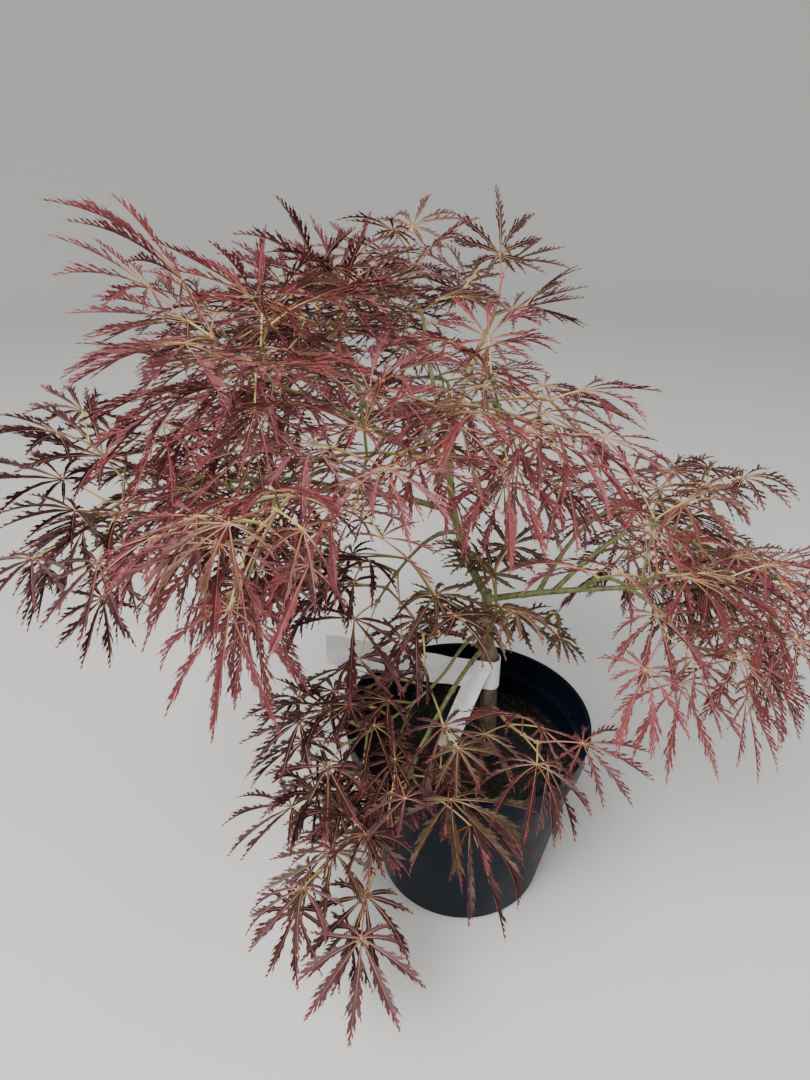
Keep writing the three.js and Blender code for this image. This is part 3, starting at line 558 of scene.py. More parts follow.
@functools.cache
def grown_mass(mass):
    """Leaves and side twigs of one mass: the leaves of the solids' rule, then finer ones between them."""
    stem = stem_paths()[mass]
    draw = seeded_draw(MASSES[mass].seed)
    leaves = []
    shares = node_shares(mass)
    turns = []
    for node, share in enumerate(shares):
        along_share = END_LEAF_ALONG if node == len(shares) - 1 else SIDE_LEAF_ALONG
        turn = math.radians((PAIR_CROSS if node % 2 else 0) + draw(-PAIR_TURN, PAIR_TURN))
        turns.append(turn)
        for half in (0, math.pi):
            spot = leaf_spot(mass, stem, share, turn + half, along_share)
            leaf = grow_leaf(mass, spot, leaf_chances(draw))
            if leaf:
                leaves.append(leaf)
    twigs = []
    for node, share in enumerate(() if mass in BARE_STEMS else shares[:-1]):
        for half in (0, math.pi):
            twig, borne = grow_side_twig(mass, stem, share, turns[node] + half, draw)
            if borne:
                twigs.append(twig)
                leaves.extend(borne)
    return leaves, twigs


def grow_side_twig(mass, stem, share, turn, draw):
    """A finer twig from a leaf's axil. Smaller leaves stand at its end, and halfway too on full stems."""
    root, _side, out = leaf_spot(mass, stem, share, turn, SIDE_LEAF_ALONG)
    length = MASSES[mass].petiole * MM * draw(*TWIG_LENGTH)
    twig = lobe_path(root, out, length, MASSES[mass].hang / 2)
    size = draw(*TWIG_LEAF_SIZE)
    borne = []
    pairs = TWIG_PAIRS if mass in FULL_STEMS else TWIG_PAIRS[:1]
    for number, (place, along_share) in enumerate(pairs):
        for half in (0, math.pi):
            leaf_turn = turn + math.pi / 2 * (1 + number) + half
            spot = leaf_spot(mass, twig, place, leaf_turn, along_share)
            leaf = grow_leaf(mass, spot, leaf_chances(draw), size)
            if leaf and is_free(mass, along_curve(twig, TWIG_CHECKS), WOOD_GAP):
                borne.append(leaf)
    return twig, borne


# Meshes

NEARLY_PARALLEL = 0.9


class Surface:
    """Triangles gathered from many small shapes, each in its own material slot."""

    def __init__(self):
        self.points = []
        self.faces = []
        self.slots = []
        self.count = 0

    def add(self, points, faces, slot=0):
        faces = np.asarray(faces, np.int32)
        self.points.append(np.asarray(points, np.float32))
        self.faces.append(faces + self.count)
        self.slots.append(np.broadcast_to(np.int32(slot), len(faces)))
        self.count += len(points)

    def build(self, name, materials, smooth_angle=None):
        points = np.concatenate(self.points)
        faces = np.concatenate(self.faces)
        mesh = bpy.data.meshes.new(name)
        mesh.vertices.add(len(points))
        mesh.vertices.foreach_set("co", points.ravel())
        mesh.loops.add(faces.size)
        mesh.loops.foreach_set("vertex_index", faces.ravel())
        mesh.polygons.add(len(faces))
        mesh.polygons.foreach_set("loop_start", np.arange(0, faces.size, 3, dtype=np.int32))
        mesh.polygons.foreach_set("material_index", np.concatenate(self.slots))
        mesh.update(calc_edges=True)
        for material in materials:
            mesh.materials.append(material)
        mesh.polygons.foreach_set("use_smooth", np.full(len(faces), smooth_angle is not None))
        if smooth_angle is not None:
            mesh.set_sharp_from_angle(angle=math.radians(smooth_angle))
        obj = bpy.data.objects.new(name, mesh)
        bpy.context.scene.collection.objects.link(obj)
        return obj


def placed(obj, slot, *nodes):
    """The piece rides with the plant and stands for these nodes. Its slot is not used."""
    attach(obj, "root")
    if nodes:
        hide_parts(*nodes)


def strip_faces(rows, columns, closed=False):
    """Triangles between neighbouring rows of points, each row holding the same number of columns."""
    across = columns if closed else columns - 1
    row, column = np.meshgrid(np.arange(rows - 1), np.arange(across), indexing="ij")
    first = (row * columns + column).ravel()
    beside = (row * columns + (column + 1) % columns).ravel()
    lower = np.stack([first, beside, beside + columns], axis=1)
    upper = np.stack([first, beside + columns, first + columns], axis=1)
    return np.concatenate([lower, upper])


def path_frames(places):
    """At each place of a path, two directions square to it that turn no more than it does."""
    headings = unit(np.gradient(places, axis=0))
    normal = np.array((0.0, -1.0, 0.0))
    if abs(headings[0] @ normal) > NEARLY_PARALLEL:
        normal = np.array((1.0, 0.0, 0.0))
    normals = []
    for heading in headings:
        normal = unit(normal - heading * (heading @ normal))
        normals.append(normal)
    normals = np.array(normals)
    return normals, np.cross(headings, normals)


def add_tube(surface, places, radii, sides, slot=0, capped=True):
    """A tube along places. radii holds one radius for each place, or one for each of its corners."""
    places = np.asarray(places, float)
    radii = np.asarray(radii, float)
    if radii.ndim == 1:
        radii = np.repeat(radii[:, None], sides, axis=1)
    normals, across = path_frames(places)
    angles = even_angles(sides)
    around = normals[:, None] * np.cos(angles)[:, None] + across[:, None] * np.sin(angles)[:, None]
    points = (places[:, None] + around * radii[..., None]).reshape(-1, 3)
    faces = strip_faces(len(places), sides, closed=True)
    if capped:
        last = len(points)
        points = np.concatenate([points, places[:1], places[-1:]])
        ring = np.arange(sides)
        following = (ring + 1) % sides
        end = (len(places) - 1) * sides
        lower = np.stack([following, ring, np.full(sides, last)], axis=1)
        upper = np.stack([end + ring, end + following, np.full(sides, last + 1)], axis=1)
        faces = np.concatenate([faces, lower, upper])
    surface.add(points, faces, slot)


# Materials

# The part of a noise's range that roughness follows, and the heights beside the graft where the bark changes
NOISE_MIDDLE = (0.3, 0.7)
GRAFT_BLEND = (-0.002, 0.009)
CUT_WOOD = ((0.30, 0.22, 0.13), (0.48, 0.38, 0.24))
DEAD_WOOD = ((0.06, 0.045, 0.035), (0.12, 0.09, 0.07))

# The grain's scale upwards beside its scale across: less gives longer streaks
BOUGH_STREAKS = 0.15
DEAD_STREAKS = 0.2
NO_STREAKS = 1


def new_material(name, colour, roughness, specular=0.5):
    material = bpy.data.materials.new(name)
    material.use_nodes = True
    shader_input(material, "Base Color").default_value = (*colour, 1)
    shader_input(material, "Roughness").default_value = roughness
    shader_input(material, "Specular IOR Level").default_value = specular
    material.diffuse_color = (*colour, 1)
    return material


def shader_input(material, name):
    return material.node_tree.nodes["Principled BSDF"].inputs[name]


def add_node(material, kind, **values):
    node = material.node_tree.nodes.new(kind)
    for name, value in values.items():
        if name in node.inputs:
            node.inputs[name].default_value = value
        else:
            setattr(node, name.lower().replace(" ", "_"), value)
    return node


def join(material, output, target):
    material.node_tree.links.new(output, target)


def noise_node(material, scale, detail, roughness, stretch=(1, 1, 1)):
    """Noise in the object's own coordinates, stretched along its axes."""
    coordinates = add_node(material, "ShaderNodeTexCoord")
    mapping = add_node(material, "ShaderNodeMapping", Scale=stretch)
    texture = add_node(material, "ShaderNodeTexNoise", Scale=scale, Detail=detail, Roughness=roughness)
    join(material, coordinates.outputs["Object"], mapping.inputs["Vector"])
    join(material, mapping.outputs["Vector"], texture.inputs["Vector"])
    return texture


def ramp_node(material, factor, stops):
    ramp = add_node(material, "ShaderNodeValToRGB")
    elements = ramp.color_ramp.elements
    while len(elements) < len(stops):
        elements.new(0.5)
    for element, (place, colour) in zip(elements, stops):
        element.position = place
        element.color = (*colour, 1)
    join(material, factor, ramp.inputs["Fac"])
    return ramp


def range_node(material, value, low, high, from_low, from_high):
    node = add_node(material, "ShaderNodeMapRange")
    node.inputs["From Min"].default_value = from_low
    node.inputs["From Max"].default_value = from_high
    node.inputs["To Min"].default_value = low
    node.inputs["To Max"].default_value = high
    join(material, value, node.inputs["Value"])
    return node


def add_bump(material, texture, strength, distance):
    bump = add_node(material, "ShaderNodeBump", Strength=strength, Distance=distance)
    join(material, texture.outputs["Fac"], bump.inputs["Height"])
    join(material, bump.outputs["Normal"], shader_input(material, "Normal"))


def colour_by(material, texture, stops):
    """Base colour from a ramp over a noise."""
    ramp = ramp_node(material, texture.outputs["Fac"], stops)
    join(material, ramp.outputs["Color"], shader_input(material, "Base Color"))


def roughen_by(material, texture, low, high):
    """Roughness from low to high over the middle of a noise's range."""
    rough = range_node(material, texture.outputs["Fac"], low, high, *NOISE_MIDDLE)
    join(material, rough.outputs["Result"], shader_input(material, "Roughness"))


def shaded(colour, factor):
    return tuple(min(1.0, channel * factor) for channel in colour)


def blended(colour, other, share):
    return tuple(a * (1 - share) + b * share for a, b in zip(colour, other))


def settings(name):
    return getattr(bpy.context.scene, name)


def wood_material(name, dark, light, streaks):
    """A fine grain in two tones, drawn out upwards into streaks where streaks is below one."""
    material = new_material(name, light, roughness=0.55)
    grain = noise_node(material, scale=260, detail=6, roughness=0.6, stretch=(1, 1, streaks))
    colour_by(material, grain, [(0.3, dark), (0.52, blended(dark, light, 0.6)), (0.7, light)])
    roughen_by(material, grain, 0.42, 0.7)
    add_bump(material, grain, strength=0.35, distance=0.0004)
    return material


def trunk_material(wood):
    """Grey-brown flaking bark on the stock, smooth olive green bark above the graft."""
    material = new_material("trunk_bark", wood.stock_colour, roughness=0.7)
    flakes = noise_node(material, scale=190, detail=8, roughness=0.65, stretch=(1, 1, 0.45))
    streaks = noise_node(material, scale=300, detail=5, roughness=0.6, stretch=(1, 1, 0.12))
    stock = bark_ramp(material, flakes, wood.stock_colour, places=(0.32, 0.5, 0.68), dark=0.35, light=1.9)
    green = bark_ramp(material, streaks, wood.green_colour, places=(0.3, 0.5, 0.7), dark=0.5, light=1.5)
    height = add_node(material, "ShaderNodeSeparateXYZ")
    coordinates = add_node(material, "ShaderNodeTexCoord")
    join(material, coordinates.outputs["Object"], height.inputs["Vector"])
    graft = along_curve(limb_paths()["trunk"], GRAFT_SHARE)[2]
    below, above = GRAFT_BLEND
    mask = range_node(material, height.outputs["Z"], 0, 1, graft + below, graft + above)
    mix = add_node(material, "ShaderNodeMix", data_type="RGBA")
    join(material, mask.outputs["Result"], mix.inputs["Factor"])
    join(material, stock.outputs["Color"], mix.inputs["A"])
    join(material, green.outputs["Color"], mix.inputs["B"])
    join(material, mix.outputs["Result"], shader_input(material, "Base Color"))
    add_bump(material, flakes, strength=0.5, distance=0.0006)
    return material


def bark_ramp(material, texture, colour, places, dark, light):
    """A ramp from a darker to a lighter shade of one colour, with the colour itself between them."""
    shades = (shaded(colour, dark), tuple(colour), shaded(colour, light))
    return ramp_node(material, texture.outputs["Fac"], list(zip(places, shades)))


# Wood


def bark_relief(place, angle, rough):
    """Furrows and small lumps of bark, in metres."""
    relief = 0.0
    for around, upward, share in (BARK_FURROW, BARK_LUMP):
        spot = Vector((math.cos(angle) * around, math.sin(angle) * around, place[2] * upward))
        relief += noise.noise(spot) * share
    return rough * relief


def add_trunk(surface, wood):
    path = limb_paths()["trunk"]
    shares = np.linspace(0, 1, TRUNK_RINGS)
    places = along_curve(path, shares)
    angles = even_angles(TRUNK_SIDES)
    foot = metres(TRUNK_FOOT)[2]
    radii = np.empty((TRUNK_RINGS, TRUNK_SIDES))
    for ring, (share, place) in enumerate(zip(shares, places)):
        radius = trunk_radius(share, place[2] - foot)
        is_stock = share < GRAFT_SHARE + GRAFT_BAND / 2
        rough = wood.stock_relief if is_stock else wood.green_relief
        flare = max(0.0, 1 - (place[2] - foot) / BUTTRESS_HEIGHT)
        for side, angle in enumerate(angles):
            buttress = BUTTRESS_DEPTH * flare * math.cos(angle * BUTTRESSES + BUTTRESS_TURN)
            radii[ring, side] = radius + bark_relief(place, angle, rough) + buttress
    is_green = shares > GRAFT_SHARE + GRAFT_BAND
    radii += (wood.node_depth * node_rings(shares, TRUNK_NODES) * is_green)[:, None]
    add_tube(surface, places, radii, TRUNK_SIDES)
    add_graft_stub(surface, path)


def node_rings(shares, count):
    """A narrow raised ring at even steps along a limb, where a pair of leaves once stood."""
    nearest = np.abs(shares * count - np.round(shares * count))
    return np.clip(1 - nearest * NODE_SHARPNESS, 0, 1)


def add_graft_stub(surface, path):
    """The cut end of the old leader: bark round a pale slanted face, with a thin dead twig beside it."""
    start = along_curve(path, GRAFT_SHARE)
    heading = unit(np.array(STUB_HEADING))
    shares = np.linspace(0, 1, STUB_RINGS)
    places = start + heading * STUB_LENGTH * shares[:, None]
    radii = STUB_RADIUS * (1 + STUB_SWELL * np.clip(shares * 3 - 2, 0, 1))
    add_tube(surface, places, radii, STUB_SIDES)
    face = [places[-1] + heading * out for out, _share in STUB_FACE]
    add_tube(surface, face, [STUB_RADIUS * share for _out, share in STUB_FACE], STUB_SIDES, slot=1)
    seat = places[DEAD_TWIG_RING]
    twig = [seat + heading * out + UP * rise for out, rise in DEAD_TWIG]
    places = along_curve(twig, np.linspace(0, 1, DEAD_TWIG_RINGS))
    add_tube(surface, places, np.linspace(*DEAD_TWIG_RADII, DEAD_TWIG_RINGS), TWIG_SIDES, slot=2)


def add_bough(surface, name, wood):
    path = limb_paths()[name]
    length = np.linalg.norm(path[2] - path[0])
    rings = max(FEWEST_BOUGH_RINGS, int(length / BOUGH_STEP))
    shares = np.linspace(0, 1, rings)
    places = along_curve(path, shares)
    angles = even_angles(BOUGH_SIDES)
    count = max(2, round(length / NODE_STEP))
    rings_out = wood.node_depth * node_rings(shares, count)
    radii = np.empty((rings, BOUGH_SIDES))
    for ring, (share, place) in enumerate(zip(shares, places)):
        radius = limb_radius(name, share) + rings_out[ring]
        for side, angle in enumerate(angles):
            radii[ring, side] = radius + bark_relief(place, angle, wood.green_relief)
    add_tube(surface, places, radii, BOUGH_SIDES)
    for step in range(1, count):
        add_buds(surface, path, step / count, limb_radius(name, step / count))


def add_buds(surface, path, share, radius, slot=0):
    """A pair of small pointed buds at a node."""
    place, heading = along_curve(path, share), curve_heading(path, share)
    side = unit(np.cross(heading, UP + BUD_LEAN * heading[::-1]))
    for half in (1, -1):
        root = place + side * half * radius * BUD_SEAT
        tip = root + side * half * BUD_OUT + heading * BUD_LENGTH
        add_tube(surface, [root, (root + tip) / 2, tip], BUD_RADII, BUD_SIDES, slot)


# Twigs


def add_stem(surface, mass):
    """A mass's stem, with a swelling and a pair of buds at each node. It starts within its bough's end."""
    stem = stem_paths()[mass]
    slot = STEM_SLOTS.get(mass, 0)
    shares = np.linspace(0, 1, STEM_RINGS)
    root, tip = STEM_ROOT_RADIUS * STEM_ROOT_SHARE, STEM_TIP_RADIUS * STEM_TIP_SHARE
    radii = root + (tip - root) * shares
    places = along_curve(stem, shares)
    places[0] -= curve_heading(stem, 0) * SEAT_GAP * 2
    for share in node_shares(mass):
        radii = radii + NODE_SWELL * np.clip(1 - np.abs(shares - share) * NODE_SWELL_SHARPNESS, 0, 1)
        add_buds(surface, stem, min(share, LAST_BUD), BUD_STEM_RADIUS, slot)
    add_tube(surface, places, radii, STEM_SIDES, slot)


def add_petiole(surface, leaf, number):
    """A thin stalk, thicker where it clasps the stem, that sags a little on its way to the hub."""
    root, hub = leaf["root"], leaf["hub"]
    length = np.linalg.norm(hub - root)
    along, lift = PETIOLE_MIDDLE
    middle = root + leaf["out"] * length * along + UP * length * lift
    shares = np.linspace(0, 1, PETIOLE_RINGS)
    clasp = PETIOLE_CLASP * np.clip(1 - shares * PETIOLE_ENDS, 0, 1)
    head = PETIOLE_HEAD * np.clip(shares * PETIOLE_ENDS - (PETIOLE_ENDS - 1), 0, 1)
    radii = PETIOLE_RADIUS + clasp + head
    slot = 1 + number % (len(TWIG_MATERIALS) - 1)
    add_tube(surface, along_curve((root, middle, hub), shares), radii, PETIOLE_SIDES, slot)


def add_side_twig(surface, twig):
    shares = np.linspace(0, 1, TWIG_RINGS)
    root, taper = TWIG_TAPER
    add_tube(surface, along_curve(twig, shares), TWIG_RADIUS * (root - taper * shares), TWIG_SIDES)
    add_buds(surface, twig, TWIG_BUD_AT, TWIG_RADIUS)


# Leaves

# A side lobe: places along it with their share of its width, then its teeth as place and height, both as
# shares of its length. Its corners are three pairs, the point and four teeth, and the faces name them
SIDE_OUTLINE = ((0.0, 0.75), (0.35, 1.0), (0.68, 0.7))
SIDE_TEETH = ((0.27, 0.035), (0.62, 0.045))
TOOTH_STAGGER = 0.06
TOOTH_LEAN = 0.08
SIDE_CURL = 0.07
BLADE_FACES = ((0, 2, 3), (0, 3, 1), (2, 4, 5), (2, 5, 3), (4, 6, 5))
TOOTH_FACES = ((0, 7, 2), (1, 3, 8), (2, 9, 4), (3, 5, 10))
SIDE_END_FACE = 4

# Where side lobes stand on a rib, how long and how wide they are
FEWEST_PAIRS = 5
LAST_PAIR = 0.9
PAIR_STAGGER = 0.36
PAIR_JITTER = 0.008
PAIR_RANGE = (0.08, 0.93)
FOLD_JITTER = 14
SPREAD_JITTER = 5
SPREAD_EASE = 12
SWELL_RISE = 3
SWELL_START = 0.5
SWELL_END = 1.03
SWELL_FALL = 2.1
USUAL_LOBE = 0.07
LENGTH_POWER = 0.7
SIDE_GROWTH = (0.75, 1.2)
SHORTEST_SIDE = 0.002
SIDE_WIDTH = 0.046
SIDE_WIDTHS = (0.0003, 0.00062)

# Web, rib and hub of a leaf: the hub as height off the leaf's face and radius
WEB_STEPS = 9
WEB_RISE = 4
WEB_FALL = 2.4
WEB_ENDS = (0.3, 0.02)
RIB_ROOT = 0.7
RIB_RISE = 3
RIB_END = 1.2
RIB_THINNEST = 0.12
RIB_HEIGHT = 0.9
RIB_DEPTH = 0.8
HUB_SIDES = 7
HUB_RINGS = ((-0.0007, 0.0005), (-0.0002, 0.0011), (0.0005, 0.001), (0.0008, 0.0003))
LOBE_SWAY = 0.14
SWAY_BACK = 0.6
LOBE_EASE = 0.6

# Chances of one leaf
SIDE_LENGTH_CHANCE = (0.85, 1.15)
FOLD_CHANCE = (-12, 16)
SPREAD_CHANCE = (-4, 4)
BARE_CHANCE = (0.17, 0.3)
TIP_CHANCE = (0.62, 0.85)
RED_END_ODDS = 0.6

# Shades of a leaf and their odds, then the slots of its tips and ribs. The first and third shades are darker
# and lighter copies of the tint: painted shade and painted light, the lighter one with a painted sky sheen of
# mauve
SHADE_NAMES = ("deep", "middle", "light", "olive")
SHADE_ODDS = (0.3, 0.36, 0.2, 0.14)
TIP_SLOT = 4
RIB_SLOT = 5
RIB_ROOT_SLOT = 6
# Factors of the painted-shade and painted-light copies, and the share of mauve painted sky sheen in the
# lighter one
PAINTED_SHADE_FACTOR = 0.62
PAINTED_LIGHT_FACTOR = 1.3
PAINTED_SKY_SHEEN_BLEND = 0.4
OLIVE_BLEND = 0.55
TIP_BLEND = 0.55

# How the leaves of each tint differ: degrees added to the spread of the side lobes, then factors for their
# breadth, for the step from one to the next and for their length
TINT_FORMS = {
    "pink": (-6, 0.75, 1.0, 1.0),
    "red": (0, 0.75, 1.1, 0.95),
    "wine": (2, 1.1, 1.15, 0.92),
    "brown": (4, 1.45, 1.2, 0.9),
    "olive": (5, 1.45, 1.2, 0.9),
    "young": (4, 1.2, 1.15, 0.88),
}


def feather_lobe(surface, path, face, look, rng):
    """One lobe: a narrow web folded up along a pale rib, with toothed side lobes that point to its tip."""
    add_web(surface, path, face, look)
    length = np.linalg.norm(path[1] - path[0]) + np.linalg.norm(path[2] - path[1])
    pairs = max(FEWEST_PAIRS, int(length * (1 - look.bare_share) / look.tooth_step))
    stations = side_stations(pairs, look, rng)
    directions = side_directions(path, face, stations, look, rng)
    reach = side_lengths(stations, length, look, rng)[:, None]
    width = np.clip(reach * SIDE_WIDTH, *SIDE_WIDTHS) * look.breadth
    corners = side_corners(along_curve(path, stations), directions, reach, width)
    count = len(stations)
    pattern = np.array(BLADE_FACES + TOOTH_FACES)
    faces = (pattern[None] + np.arange(count)[:, None, None] * corners.shape[1]).reshape(-1, 3)
    is_tip = np.repeat(stations > look.tip_share, len(pattern))
    is_tip |= np.tile(np.arange(len(pattern)) == SIDE_END_FACE, count) & look.has_red_ends
    surface.add(corners.reshape(-1, 3), faces, np.where(is_tip, TIP_SLOT, look.shade))


def side_stations(pairs, look, rng):
    """Where side lobes leave the rib, as shares of it: in pairs, the second a little further out."""
    even = np.repeat(np.linspace(look.bare_share, LAST_PAIR, pairs), 2)
    stagger = np.tile((0, PAIR_STAGGER / pairs), pairs)
    return np.clip(even + stagger + rng.uniform(-PAIR_JITTER, PAIR_JITTER, 2 * pairs), *PAIR_RANGE)


def side_directions(path, face, stations, look, rng):
    """For each side lobe: the heading of the rib, its own way out, and the direction across it."""
    count = len(stations)
    heading, across, above = lobe_frame(path, face, stations)
    half = np.tile((1.0, -1.0), count // 2)[:, None]
    fold = np.radians(look.fold_angle + rng.uniform(-FOLD_JITTER, FOLD_JITTER, count))[:, None]
    outward = across * half * np.cos(fold) + above * np.sin(fold)
    spread = look.spread_angle - SPREAD_EASE * stations + rng.uniform(-SPREAD_JITTER, SPREAD_JITTER, count)
    spread = np.radians(spread)[:, None]
    out = heading * np.cos(spread) + outward * np.sin(spread)
    beside = heading * np.sin(spread) - outward * np.cos(spread)
    return heading, out, beside


def side_lengths(stations, length, look, rng):
    """Lengths of the side lobes: short beside the hub, longest in the middle and short again at the tip."""
    rise = np.clip((stations - look.bare_share) * SWELL_RISE + SWELL_START, 0, 1)
    swell = rise * np.clip((SWELL_END - stations) * SWELL_FALL, 0, 1)
    longest = look.side_length * (length / USUAL_LOBE) ** LENGTH_POWER
    return np.clip(longest * swell * rng.uniform(*SIDE_GROWTH, len(stations)), SHORTEST_SIDE, None)


def side_corners(base, directions, reach, width):
    """Corners of each side lobe: three pairs along it, its point, and its teeth."""
    heading, out, beside = directions
    corners = []
    for share, breadth in SIDE_OUTLINE:
        axis = base + out * reach * share + heading * reach * SIDE_CURL * share**2
        corners.append(axis - beside * width * breadth)
        corners.append(axis + beside * width * breadth)
    corners.append(base + out * reach + heading * reach * SIDE_CURL)
    for share, stand in SIDE_TEETH:
        for side in (-1, 1):
            along = out * reach * (share + TOOTH_STAGGER * side)
            axis = base + along + heading * reach * SIDE_CURL * share**2
            corners.append(axis + beside * side * (width + reach * stand) + out * reach * TOOTH_LEAN)
    return np.stack(corners, axis=1)


def lobe_frame(path, face, stations):
    heading = curve_heading(path, stations)
    across = unit(np.cross(face, heading))
    return heading, across, np.cross(heading, across)


def add_web(surface, path, face, look):
    """The blade's own narrow web, in two strips that rise from the rib, and the raised rib between them."""
    stations = np.linspace(0, 1, WEB_STEPS)
    spine = along_curve(path, stations)
    heading, across, above = lobe_frame(path, face, stations)
    at_root, at_tip = WEB_ENDS
    swell = np.clip(stations * WEB_RISE, at_root, 1) * np.clip((1 - stations) * WEB_FALL, at_tip, 1)
    half = (look.web_width * swell)[:, None]
    fold = math.radians(look.fold_angle)
    left = spine + (across * math.cos(fold) + above * math.sin(fold)) * half
    right = spine + (-across * math.cos(fold) + above * math.sin(fold)) * half
    rows = np.stack([left, spine, right], axis=1).reshape(-1, 3)
    surface.add(rows, strip_faces(WEB_STEPS, 3), look.shade)
    taper = np.clip(RIB_ROOT + RIB_RISE * stations, 0, 1) * np.clip(RIB_END - stations, RIB_THINNEST, 1)
    add_rib(surface, spine, across, above, (look.rib_width * taper)[:, None])


def add_rib(surface, spine, across, above, rib):
    """A rib four sides round, its inner third in the paler colour of the hub."""
    ridge = spine + above * rib * RIB_HEIGHT
    under = spine - above * rib * RIB_DEPTH
    edges = np.stack([ridge, spine + across * rib, under, spine - across * rib], axis=1)
    split = WEB_STEPS // 3
    root, outer = edges[: split + 1].reshape(-1, 3), edges[split:].reshape(-1, 3)
    surface.add(root, strip_faces(split + 1, 4, closed=True), RIB_ROOT_SLOT)
    surface.add(outer, strip_faces(WEB_STEPS - split, 4, closed=True), RIB_SLOT)


class LeafLook:
    """Sizes of one leaf's lobes, with angles in degrees, from the settings, its tint and its own chances."""

    def __init__(self, leaf_settings, tint, rng):
        spread, self.breadth, step, side = TINT_FORMS[tint]
        self.side_length = leaf_settings.side_length * side * rng.uniform(*SIDE_LENGTH_CHANCE)
        self.tooth_step = leaf_settings.tooth_step * step
        self.web_width = leaf_settings.web_width * self.breadth
        self.rib_width = leaf_settings.rib_width
        self.fold_angle = math.degrees(leaf_settings.fold_angle) + rng.uniform(*FOLD_CHANCE)
        self.spread_angle = math.degrees(leaf_settings.spread_angle) + spread + rng.uniform(*SPREAD_CHANCE)
        self.bare_share = rng.uniform(*BARE_CHANCE)
        self.tip_share = rng.uniform(*TIP_CHANCE)
        self.has_red_ends = rng.uniform() < RED_END_ODDS
        self.shade = int(rng.choice(len(SHADE_NAMES), p=SHADE_ODDS))


def add_leaf(surface, leaf, leaf_settings, rng):
    """A leaf's lobes, each with a sideways sway and, where it has room, a gentler fall, then the hub."""
    look = LeafLook(leaf_settings, MASSES[leaf["mass"]].tint, rng)
    for start, middle, end in leaf["lobes"]:
        across = unit(np.cross(leaf["face"], end - start))
        length = np.linalg.norm(middle - start)
        sway = across * length * rng.uniform(-LOBE_SWAY, LOBE_SWAY)
        straight = middle + unit(middle - start) * length
        eased = end + (straight - end) * rng.uniform(0, LOBE_EASE)
        if not is_free(leaf["mass"], along_curve((start, middle, eased), LOBE_CHECKS), WOOD_GAP):
            eased = end
        path = (start, middle + sway, eased - sway * SWAY_BACK)
        feather_lobe(surface, path, leaf["face"], look, rng)
    add_hub(surface, leaf)


def add_hub(surface, leaf):
    places = [leaf["hub"] + leaf["face"] * rise for rise, _radius in HUB_RINGS]
    add_tube(surface, places, [radius for _rise, radius in HUB_RINGS], HUB_SIDES, RIB_ROOT_SLOT)


# Pot

AXIS_HOLE = 0.0004
LIP_BEVEL = 0.0007
CORNER_ROUNDING = 0.0009
MOST_ROUNDED = 0.45
POT_SIDES = 144

# Stacking lugs: depth out of the collar's wall at their foot, shoulder and top
LUG_COUNT = 10
LUG_HEIGHT = 0.006
LUG_SHOULDER = 0.0015
LUG_DEPTHS = (0.0034, 0.0026, 0.0004)
LUG_HALF_WIDTH = 0.0013
LUG_ROOT = 0.0003
LUG_SIDES = ((0, 2, 6), (0, 6, 4), (2, 3, 7), (2, 7, 6), (3, 1, 5), (3, 5, 7), (1, 0, 4), (1, 4, 5))
LUG_ENDS = ((8, 10, 11), (8, 11, 9), (0, 1, 3), (0, 3, 2))


def pot_inner_radius(height):
    shoulder = POT_HEIGHT - COLLAR_DEPTH
    slope = (POT_RADIUS - LIP_OUT - COLLAR_STEP - BASE_RADIUS) / shoulder
    return BASE_RADIUS + slope * height - WALL


def rounded(outline, radius, steps=4):
    """An outline with each corner between its ends turned into a short arc."""
    places = [np.array(place, float) for place in outline]
    smooth = [places[0]]
    for before, corner, after in zip(places, places[1:], places[2:]):
        shorter = min(np.linalg.norm(before - corner), np.linalg.norm(after - corner))
        reach = min(radius, shorter * MOST_ROUNDED)
        start = corner + unit(before - corner) * reach
        end = corner + unit(after - corner) * reach
        smooth.extend(along_curve((start, corner, end), np.linspace(0, 1, steps)))
    smooth.append(places[-1])
    return np.array(smooth)


def add_turned(surface, outline, sides):
    """An outline of radius and height turned round the upright axis."""
    angles = even_angles(sides)
    radius, height = outline[:, 0][:, None], outline[:, 1][:, None]
    points = np.stack(np.broadcast_arrays(radius * np.cos(angles), radius * np.sin(angles), height), axis=2)
    surface.add(points.reshape(-1, 3), strip_faces(len(outline), sides, closed=True))


def add_pot(surface):
    shoulder = POT_HEIGHT - COLLAR_DEPTH
    outer = pot_inner_radius(shoulder) + WALL
    collar = POT_RADIUS - LIP_OUT
    lip_under = POT_HEIGHT - LIP_DEPTH
    outline = [
        (AXIS_HOLE, 0),
        (BASE_RADIUS - BASE_CHAMFER, 0),
        (pot_inner_radius(BASE_CHAMFER) + WALL, BASE_CHAMFER),
        (outer, shoulder),
        (collar - COLLAR_FLARE, shoulder + RIDGE_DEPTH / 2),
        (collar, lip_under),
        (POT_RADIUS, lip_under + LIP_BEVEL),
        (POT_RADIUS, POT_HEIGHT),
        (collar - WALL, POT_HEIGHT),
        (collar - COLLAR_FLARE - WALL, shoulder + RIDGE_DEPTH),
        (outer - WALL - RIDGE_OUT, shoulder + RIDGE_DEPTH / 2),
        (outer - WALL - RIDGE_OUT, shoulder),
        (pot_inner_radius(shoulder - RIDGE_DEPTH), shoulder - RIDGE_DEPTH),
        (pot_inner_radius(FLOOR), FLOOR),
        (AXIS_HOLE, FLOOR),
    ]
    add_turned(surface, rounded(outline, CORNER_ROUNDING), POT_SIDES)
    add_stacking_lugs(surface, shoulder, collar)


